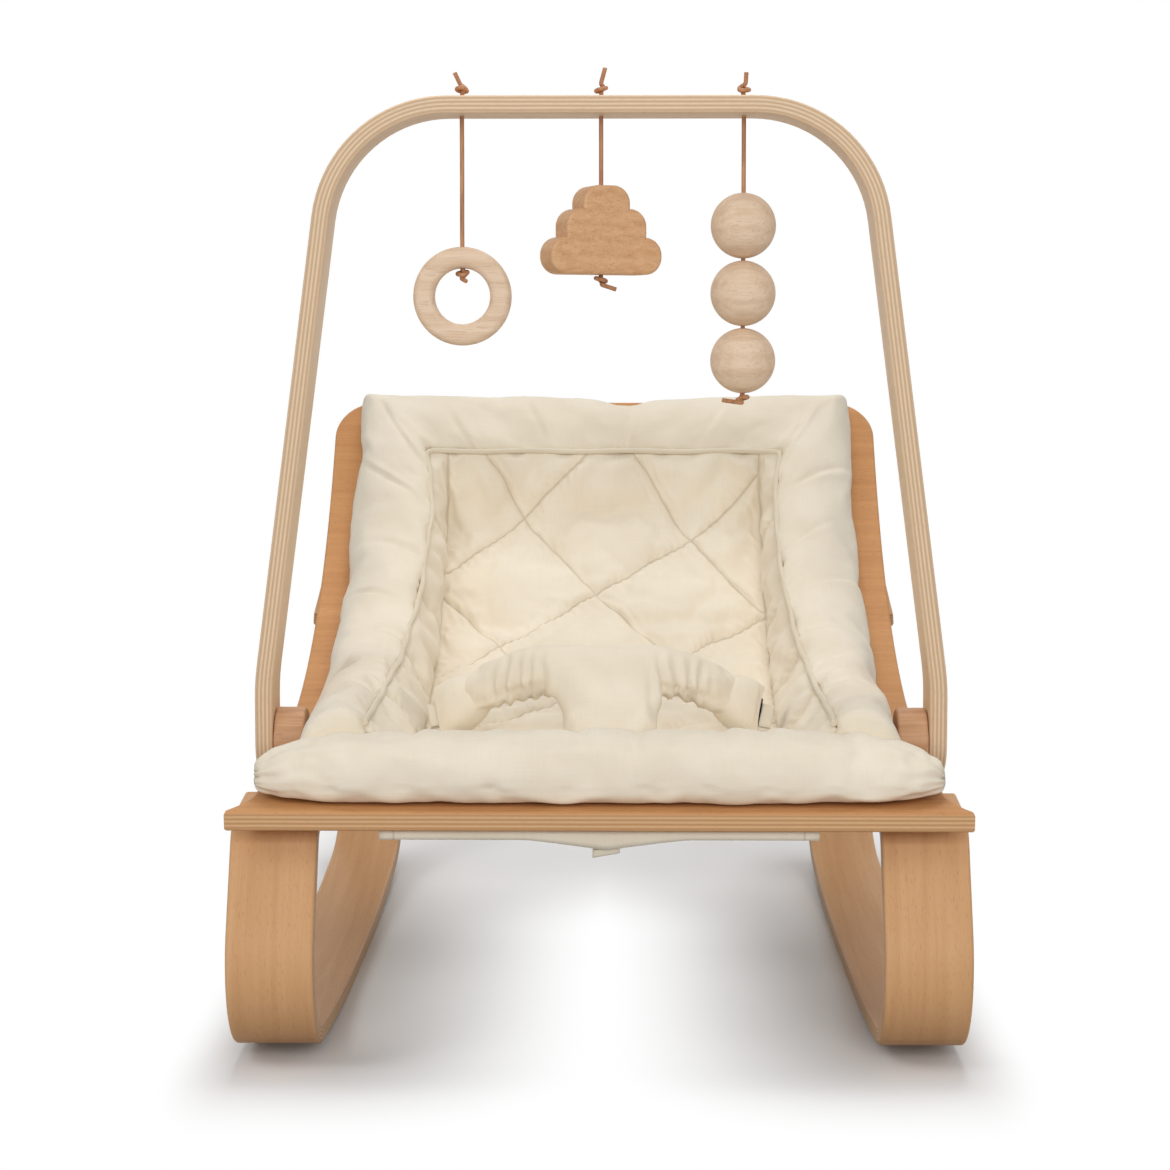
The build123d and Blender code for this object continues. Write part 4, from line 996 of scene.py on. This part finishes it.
# Each fold's place round and along the roll, its reach and its slant
ROLL_CREASES = (
    (0.014, 0.070, 0.020, 0.25), (0.030, 0.138, 0.022, -0.15), (0.012, 0.205, 0.018, 0.3),
    (0.034, 0.262, 0.020, 0.1), (0.016, 0.330, 0.024, -0.3), (0.030, 0.395, 0.018, 0.2),
    (0.010, 0.440, 0.030, 0.75), (0.014, 0.500, 0.018, 0.1), (0.030, 0.560, 0.016, -0.2),
    (0.012, 0.625, 0.020, 0.2), (0.028, 0.690, 0.018, 0.1), (0.010, 0.765, 0.030, -0.75),
    (0.030, 0.820, 0.022, 0.2), (0.014, 0.880, 0.020, -0.2), (0.034, 0.940, 0.020, 0.1),
    (0.014, 1.005, 0.022, 0.3), (0.030, 1.070, 0.020, -0.1), (0.014, 1.135, 0.020, 0.2),
)


def crease_border():
    cloth, points = get_cloth(border.data), get_points(border.data)
    gap = cloth[:, 2] - SEAM_COVER
    amounts = 0.0006 * ripples(cloth[:, 1], 0.0140, 6 * waver(points, 0.018, 1.0)) * np.exp(-gap / 0.008)
    amounts -= 0.0010 * dip(gap, 0.0025)
    for across, along, length, slant in ROLL_CREASES:
        amounts += crease(cloth, across, along, length, slant, 0.0017, 0.0026)
    amounts += 0.0004 * waver(points, 0.010, 7.0)
    push(border, amounts)
    lay_on_frame(border, 0.1755)


# Here the place along the roll comes first
FRONT_CREASES = (
    (-0.150, 0.075, 0.030, 0.3), (-0.105, 0.055, 0.030, -0.1), (-0.062, 0.075, 0.028, 0.2),
    (-0.012, 0.055, 0.030, -0.15), (0.022, 0.050, 0.035, 0.1), (0.068, 0.060, 0.030, -0.25),
    (0.092, 0.060, 0.030, 0.1), (0.135, 0.060, 0.030, -0.2), (0.162, 0.070, 0.026, 0.3),
)


def crease_front():
    cloth, points = get_cloth(front_roll.data)[:, [1, 0, 2]], get_points(front_roll.data)
    amounts = 0.0006 * waver(points, 0.011, 4.0)
    for along, across, length, slant in FRONT_CREASES:
        amounts += crease(cloth, across, along, length, slant, 0.0020, 0.004)
    ends = np.exp(-np.maximum(0.19 - np.abs(points[:, 0]), 0) / 0.018)
    amounts += 0.0013 * ends * ripples(cloth[:, 0], 0.014, 3 * waver(points, 0.02, 8.0))
    push(front_roll, amounts)
    lay_on_frame(front_roll)


def sew_panel():
    cloth, points = get_cloth(panel.data), get_points(panel.data)
    gap = panel_gap(cloth[:, 0], cloth[:, 1])
    cloth[:, 2] = gap
    set_vectors(panel.data, "cloth", cloth)
    ripple = ripples(cloth[:, 0] + 0.6 * cloth[:, 1], 0.0085, 6 * waver(points, 0.02, 6.0))
    amounts = -0.0036 * np.exp(-gap / 0.0026) + 0.0005 * ripple * dip(gap, 0.008)
    amounts += 0.0006 * waver(points, 0.016, 3.0)
    amounts *= 1 - step_up(cloth[:, 1], PANEL_END - 0.008, PANEL_END)
    push(panel, amounts)


def gather_harness():
    points = get_points(harness.data)
    out = np.abs(points[:, 0])
    gap = np.min(np.linalg.norm(points[:, None, :] - np.array(hole_seam)[None, :, :], axis=2), axis=1)
    gathered = step_up(out, 0.022, 0.034) * (1 - step_up(out, 0.054, 0.070))
    fold = ripples(points[:, 0], 0.0078, 2.5 * waver(points, 0.015, 2.0))
    amounts = 0.0023 * fold * gathered * dip(gap, 0.016)
    amounts -= 0.0018 * dip(gap, 0.0026) * step_up(out, 0.028, 0.038)
    amounts += 0.0007 * waver(points, 0.011, 5.0)
    height = points @ np.array([0.0, 0.5, 0.866])
    set_vectors(harness.data, "cloth", np.stack([points[:, 0], height, gap], axis=-1))
    push(harness, amounts)


crease_border()
crease_front()
sew_panel()
gather_harness()

# Hemmed sleeves at the band's ends, open at their mouths: reach, half height and half thickness
CUFF_ROWS = (
    (-0.028, 0.0080, 0.0055), (-0.021, 0.0122, 0.0088), (-0.013, 0.0162, 0.0120),
    (-0.005, 0.0174, 0.0122), (0.000, 0.0178, 0.0116), (0.0035, 0.0180, 0.0108),
    (0.0075, 0.0182, 0.0098), (0.0100, 0.0183, 0.0092), (0.0106, 0.0178, 0.0087),
    (0.0098, 0.0172, 0.0081), (0.0040, 0.0168, 0.0080), (-0.0020, 0.0160, 0.0075),
)
CUFF_ROUND, CUFF_GIRTH = 48, 0.09
HEM_PLACE = 0.0062
MOUTH_SLANT = {"left": 0.002, "right": 0.0065}
TAPE_THICK, SLING_THICK = 0.0008, 0.0012
# Folded tape end: reach out of the sleeve and lift off its middle
TAPE_ROUTE = (
    (0.002, 0.001), (0.009, 0.0015), (0.0145, 0.0030), (0.0165, 0.0050), (0.0145, 0.0066), (0.0080, 0.0060),
)
TAPE_ROWS = 22
tape_route = even_ring(TAPE_ROUTE, TAPE_ROWS, closed=False)
tape_out, tape_off = tape_route[:, :1], tape_route[:, 1]
tape_wide = np.linspace(-0.0120, 0.0040, 8)[None, :]
tape_sway = 0.0012 * np.sin(np.linspace(0, 5, TAPE_ROWS))
cuff_wave = 0.0005 * np.sin(np.linspace(0, 6 * math.pi, CUFF_ROUND, endpoint=False))
cuff_length = np.linspace(0, CUFF_GIRTH, CUFF_ROUND)
for side, index, outwards in (("left", 0, -1), ("right", WING_ROWS - 1, 1)):
    place = wing_line[index]
    heading, upward, face = wing_axes(index)
    heading = heading * outwards
    cuff_rows, cuff_cloth = [], []
    for reach_out, half_up, half_thick in CUFF_ROWS:
        up, off = section(half_up, half_thick, CUFF_ROUND)
        cut_back = MOUTH_SLANT[side] * np.clip(off / half_thick, 0, 1) * step_up(reach_out, 0.0, 0.006)
        out = reach_out + cuff_wave - cut_back
        cuff_rows.append(place + out[:, None] * heading + up[:, None] * upward + off[:, None] * face)
        cuff_cloth.append(cloth_grid(cuff_length, reach_out, abs(reach_out - HEM_PLACE)))
    cuff = cloth_piece(
        side + "_sleeve", np.array(cuff_rows), np.array(cuff_cloth), closed=True, flip=side == "right"
    )
    refine(cuff)
    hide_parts("waist_pad")

    tape_points = (
        place
        + (tape_out + 0.05 * tape_wide)[..., None] * heading
        + (tape_off + tape_sway)[:, None, None] * face
        + (tape_wide + 0.2 * tape_out)[..., None] * upward
    )
    tape_cloth = cloth_grid(tape_wide, np.linspace(0, 0.030, TAPE_ROWS)[:, None], 0.01)
    tape = cloth_piece(side + "_tape", tape_points, tape_cloth, material=WEBBING, slot_name="webbing")
    thicken(tape, TAPE_THICK)
    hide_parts(side + "_waist_strap")

# Corded seam round the panel's rim
PIPING_LIFT, PIPING_RADIUS = RIM_LIFT + 0.0016, 0.0019
seam_along = np.linspace(PANEL_START - 0.004, PANEL_END - 0.003, 46)
seam_wave = 0.0006 * np.sin(seam_along * 62) + 0.0005 * np.sin(seam_along * 151)
seam_half = rim_x(seam_along)
left_side = sheet_points(-seam_half + seam_wave, seam_along, PIPING_LIFT)
right_side = sheet_points(seam_half + 0.8 * np.roll(seam_wave, 9), seam_along, PIPING_LIFT)
top_x = np.linspace(-0.1205, 0.1205, 34)
top_side = sheet_points(top_x, PANEL_END + 0.0006 * np.sin(top_x * 90), PIPING_LIFT)
rim_line = np.concatenate([left_side, top_side, right_side[::-1]])
piping = lace_curve("rim_piping", [tuple(point) for point in rim_line], PIPING_RADIUS, PIPING)
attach(piping, "rocker")
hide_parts("panel_piping")

# Sling cloth under the panel; its front hem hangs a little and is drawn down at the tab
SLING_HALF, SLING_GAP = 0.121, 0.0006
HEM_ROWS, HEM_DROPS = (0.0066, 0.0064, 0.0064, 0.0068), (1.0, 0.66, 0.33, 0.08)
HEM_HANG, DRAWN_X, DRAWN_HALF = 0.0058, 0.004, 0.045
FRONT_HEM, REAR_HEM, SIDE_HEM = 0.0135, SHEET_LENGTH - 0.016, 0.113
sling_along = np.concatenate([HEM_ROWS, np.linspace(0.0085, SHEET_LENGTH - 0.006, 112)])
sling_x = np.linspace(-SLING_HALF, SLING_HALF, 60)
under_frame = -FRAME_PLY - SLING_GAP
below_panel = panel_dip(sling_along) - 0.0215
on_frame = (sling_along < 0.060) | (sling_along > PANEL_END)
sling_base = np.where(on_frame, under_frame, np.minimum(below_panel, under_frame))
sling_base[3:-3] = np.convolve(sling_base, np.ones(7) / 7, "valid")
sling_base = np.minimum(sling_base, under_frame)
sling_lift = np.repeat(sling_base[:, None], len(sling_x), axis=1)
drawn = np.maximum(1 - np.abs(sling_x - DRAWN_X) / DRAWN_HALF, 0) ** 1.15
for row, drop in enumerate(HEM_DROPS):
    sling_lift[row] -= drop * (HEM_HANG + HEM_HANG * drawn)
free = step_up(sling_along, 0.075, 0.11) * (1 - step_up(sling_along, 0.44, 0.49))
ruck = np.array([[noise.noise(Vector((9 * x, 30 * along, 2))) for x in sling_x] for along in sling_along])
sling_lift -= 0.0022 * free[:, None] * (ruck + 0.6)
sling_points = sheet_points(sling_x[None, :], sling_along[:, None], sling_lift)
end_gap = np.minimum(np.abs(sling_along - FRONT_HEM), np.abs(sling_along - REAR_HEM))
side_gap = np.abs(np.abs(sling_x) - SIDE_HEM)
sling_gap = np.minimum(end_gap[:, None], side_gap[None, :])
sling = cloth_piece("sling_cloth", sling_points, cloth_grid(sling_x[None, :], sling_along[:, None], sling_gap))
thicken(sling, SLING_THICK)
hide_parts("seat_sling")

# Tape tab folded under the front hem: place along the sheet and lift off it
TAB_ROUTE = ((0.0110, -0.0185), (0.0104, -0.0245), (0.0094, -0.0274), (0.0082, -0.0268), (0.0080, -0.0232))
TAB_TILT = 0.18
tab_route = even_ring(TAB_ROUTE, 20, closed=False)
tab_along, tab_lift = tab_route[:, :1], tab_route[:, 1:]
tab_x = np.linspace(-0.0035, 0.0115, 8)[None, :]
tab_points = sheet_points(tab_x, tab_along, tab_lift + TAB_TILT * tab_x)
tab = cloth_piece("hem_tab", tab_points, cloth_grid(tab_x, tab_lift, 0.01), material=WEBBING, slot_name="cotton")
thicken(tab, TAPE_THICK)
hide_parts("pull_tab")

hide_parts("left_bolster", "top_bolster", "right_bolster")
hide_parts("front_bolster")
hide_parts("quilted_panel", "left_gusset", "right_gusset")
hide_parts("crotch_pad", "waist_pad")

# Floor, light and camera
WHITE = (1, 1, 1, 1)
FLOOR_BOUNCE = (0.45, 0.44, 0.43, 1)
WORLD_LIGHT = 0.33
RUNNER_LINE = 0.178
SHADOW_FADE = 0.15


def background_rays(tree):
    """1 for rays that see the background: straight, in a gloss or through something clear."""
    rays = tree.nodes.new("ShaderNodeLightPath").outputs
    seen = rays["Is Camera Ray"]
    for name in ("Is Glossy Ray", "Is Transmission Ray"):
        total = tree.nodes.new("ShaderNodeMath")
        total.operation = "ADD"
        total.use_clamp = True
        tree.links.new(seen, total.inputs[0])
        tree.links.new(rays[name], total.inputs[1])
        seen = total.outputs[0]
    return seen


def stage_material():
    """Pale floor that fades to plain white away from the runners, so only their shadow shows."""
    nodes = Nodes("pale_floor")
    place = nodes.place()
    seen = background_rays(nodes.tree)
    tone = nodes.noise(place, 3, 2, 0.5)
    pale = nodes.ramp(tone, [(0.3, (0.93, 0.93, 0.93)), (0.7, (0.95, 0.95, 0.95))])
    nodes.finish(nodes.mix(seen, FLOOR_BOUNCE, pale), 0.9, Specular_IOR_Level=0.1)
    x, y, _ = nodes.add("SeparateXYZ", {"Vector": place}).outputs

    def past(value, limit):
        return nodes.math("MAXIMUM", nodes.math("SUBTRACT", value, limit), 0.0)

    # The shadow fades fast outside the runners, slower between them, and least of all at the rear
    beside = nodes.math("SUBTRACT", nodes.math("ABSOLUTE", x), RUNNER_LINE)
    outside = nodes.math("MULTIPLY", past(beside, 0.022), nodes.range(y, -0.10, 0.35, 3.4, 2.0))
    between = past(nodes.math("MULTIPLY", beside, -1.0), 0.026)
    between = nodes.math("MULTIPLY", between, nodes.range(y, 0.02, 0.36, 1.0, 0.1))
    sideways = nodes.math("ADD", outside, between)
    before = nodes.math("SUBTRACT", nodes.math("MULTIPLY", y, -1.0), 0.30)
    behind = nodes.math("MULTIPLY", nodes.math("SUBTRACT", y, 0.36), 0.5)
    beyond = nodes.math("MAXIMUM", nodes.math("MAXIMUM", before, behind), 0.0)
    squares = [nodes.math("POWER", length, 2.0) for length in (sideways, beyond)]
    far = nodes.range(nodes.math("SQRT", nodes.math("ADD", *squares)), 0.0, SHADOW_FADE)
    white = nodes.add("Emission", {"Color": WHITE, "Strength": 1.0})
    mixed = nodes.add("MixShader", {0: nodes.math("MULTIPLY", far, seen)})
    nodes.put(mixed.inputs[1], nodes.shader.outputs[0])
    nodes.put(mixed.inputs[2], white.outputs[0])
    nodes.put(nodes.tree.nodes["Material Output"].inputs["Surface"], mixed.outputs[0])
    return nodes.material


floor_mesh = bpy.data.meshes.new("studio_floor")
floor_mesh.from_pydata([(-8, -6, 0), (8, -6, 0), (8, 10, 0), (-8, 10, 0)], [], [(0, 1, 2, 3)])
floor_mesh.materials.append(stage_material())
floor = add_object("studio_floor", floor_mesh)

world = bpy.data.worlds.new("studio")
scene.world = world
world.use_nodes = True
tree = world.node_tree
background = tree.nodes["Background"]
strength = tree.nodes.new("ShaderNodeMapRange")
strength.inputs["To Min"].default_value = WORLD_LIGHT
strength.inputs["To Max"].default_value = 1.0
tree.links.new(background_rays(tree), strength.inputs["Value"])
tree.links.new(strength.outputs["Result"], background.inputs["Strength"])
background.inputs["Color"].default_value = WHITE


def softbox(name, place, target, size, power):
    data = bpy.data.lights.new(name, "AREA")
    data.shape = "RECTANGLE"
    data.size, data.size_y = size
    data.energy = power
    lamp = add_object(name, data)
    lamp.location = place
    lamp.rotation_euler = (Vector(target) - Vector(place)).to_track_quat("-Z", "Y").to_euler()


softbox("key_left", (-1.5, -1.3, 1.7), (0, 0, 0.25), (0.9, 0.9), 9)
softbox("fill_right", (1.7, -1.5, 1.2), (0, 0, 0.2), (1.4, 1.4), 5)
softbox("front_fill", (0.1, -2.9, 1.0), (0, 0, 0.3), (1.8, 1.2), 32)
softbox("top_light", (0.1, 0.5, 2.3), (0, 0, 0.2), (1.2, 1.2), 20)

# The camera's lens, place and turn are fitted to the photograph's view
camera_data = bpy.data.cameras.new("photo_camera")
camera_data.sensor_width = 36
camera_data.lens = 80.73
camera = add_object("photo_camera", camera_data)
camera.location = (0.0112, -1.4145 - MIDDLE, 0.3943)
camera.rotation_euler = (math.radians(90 - 4.933), 0, math.radians(0.758))
scene.camera = camera

scene.view_settings.view_transform = "Standard"
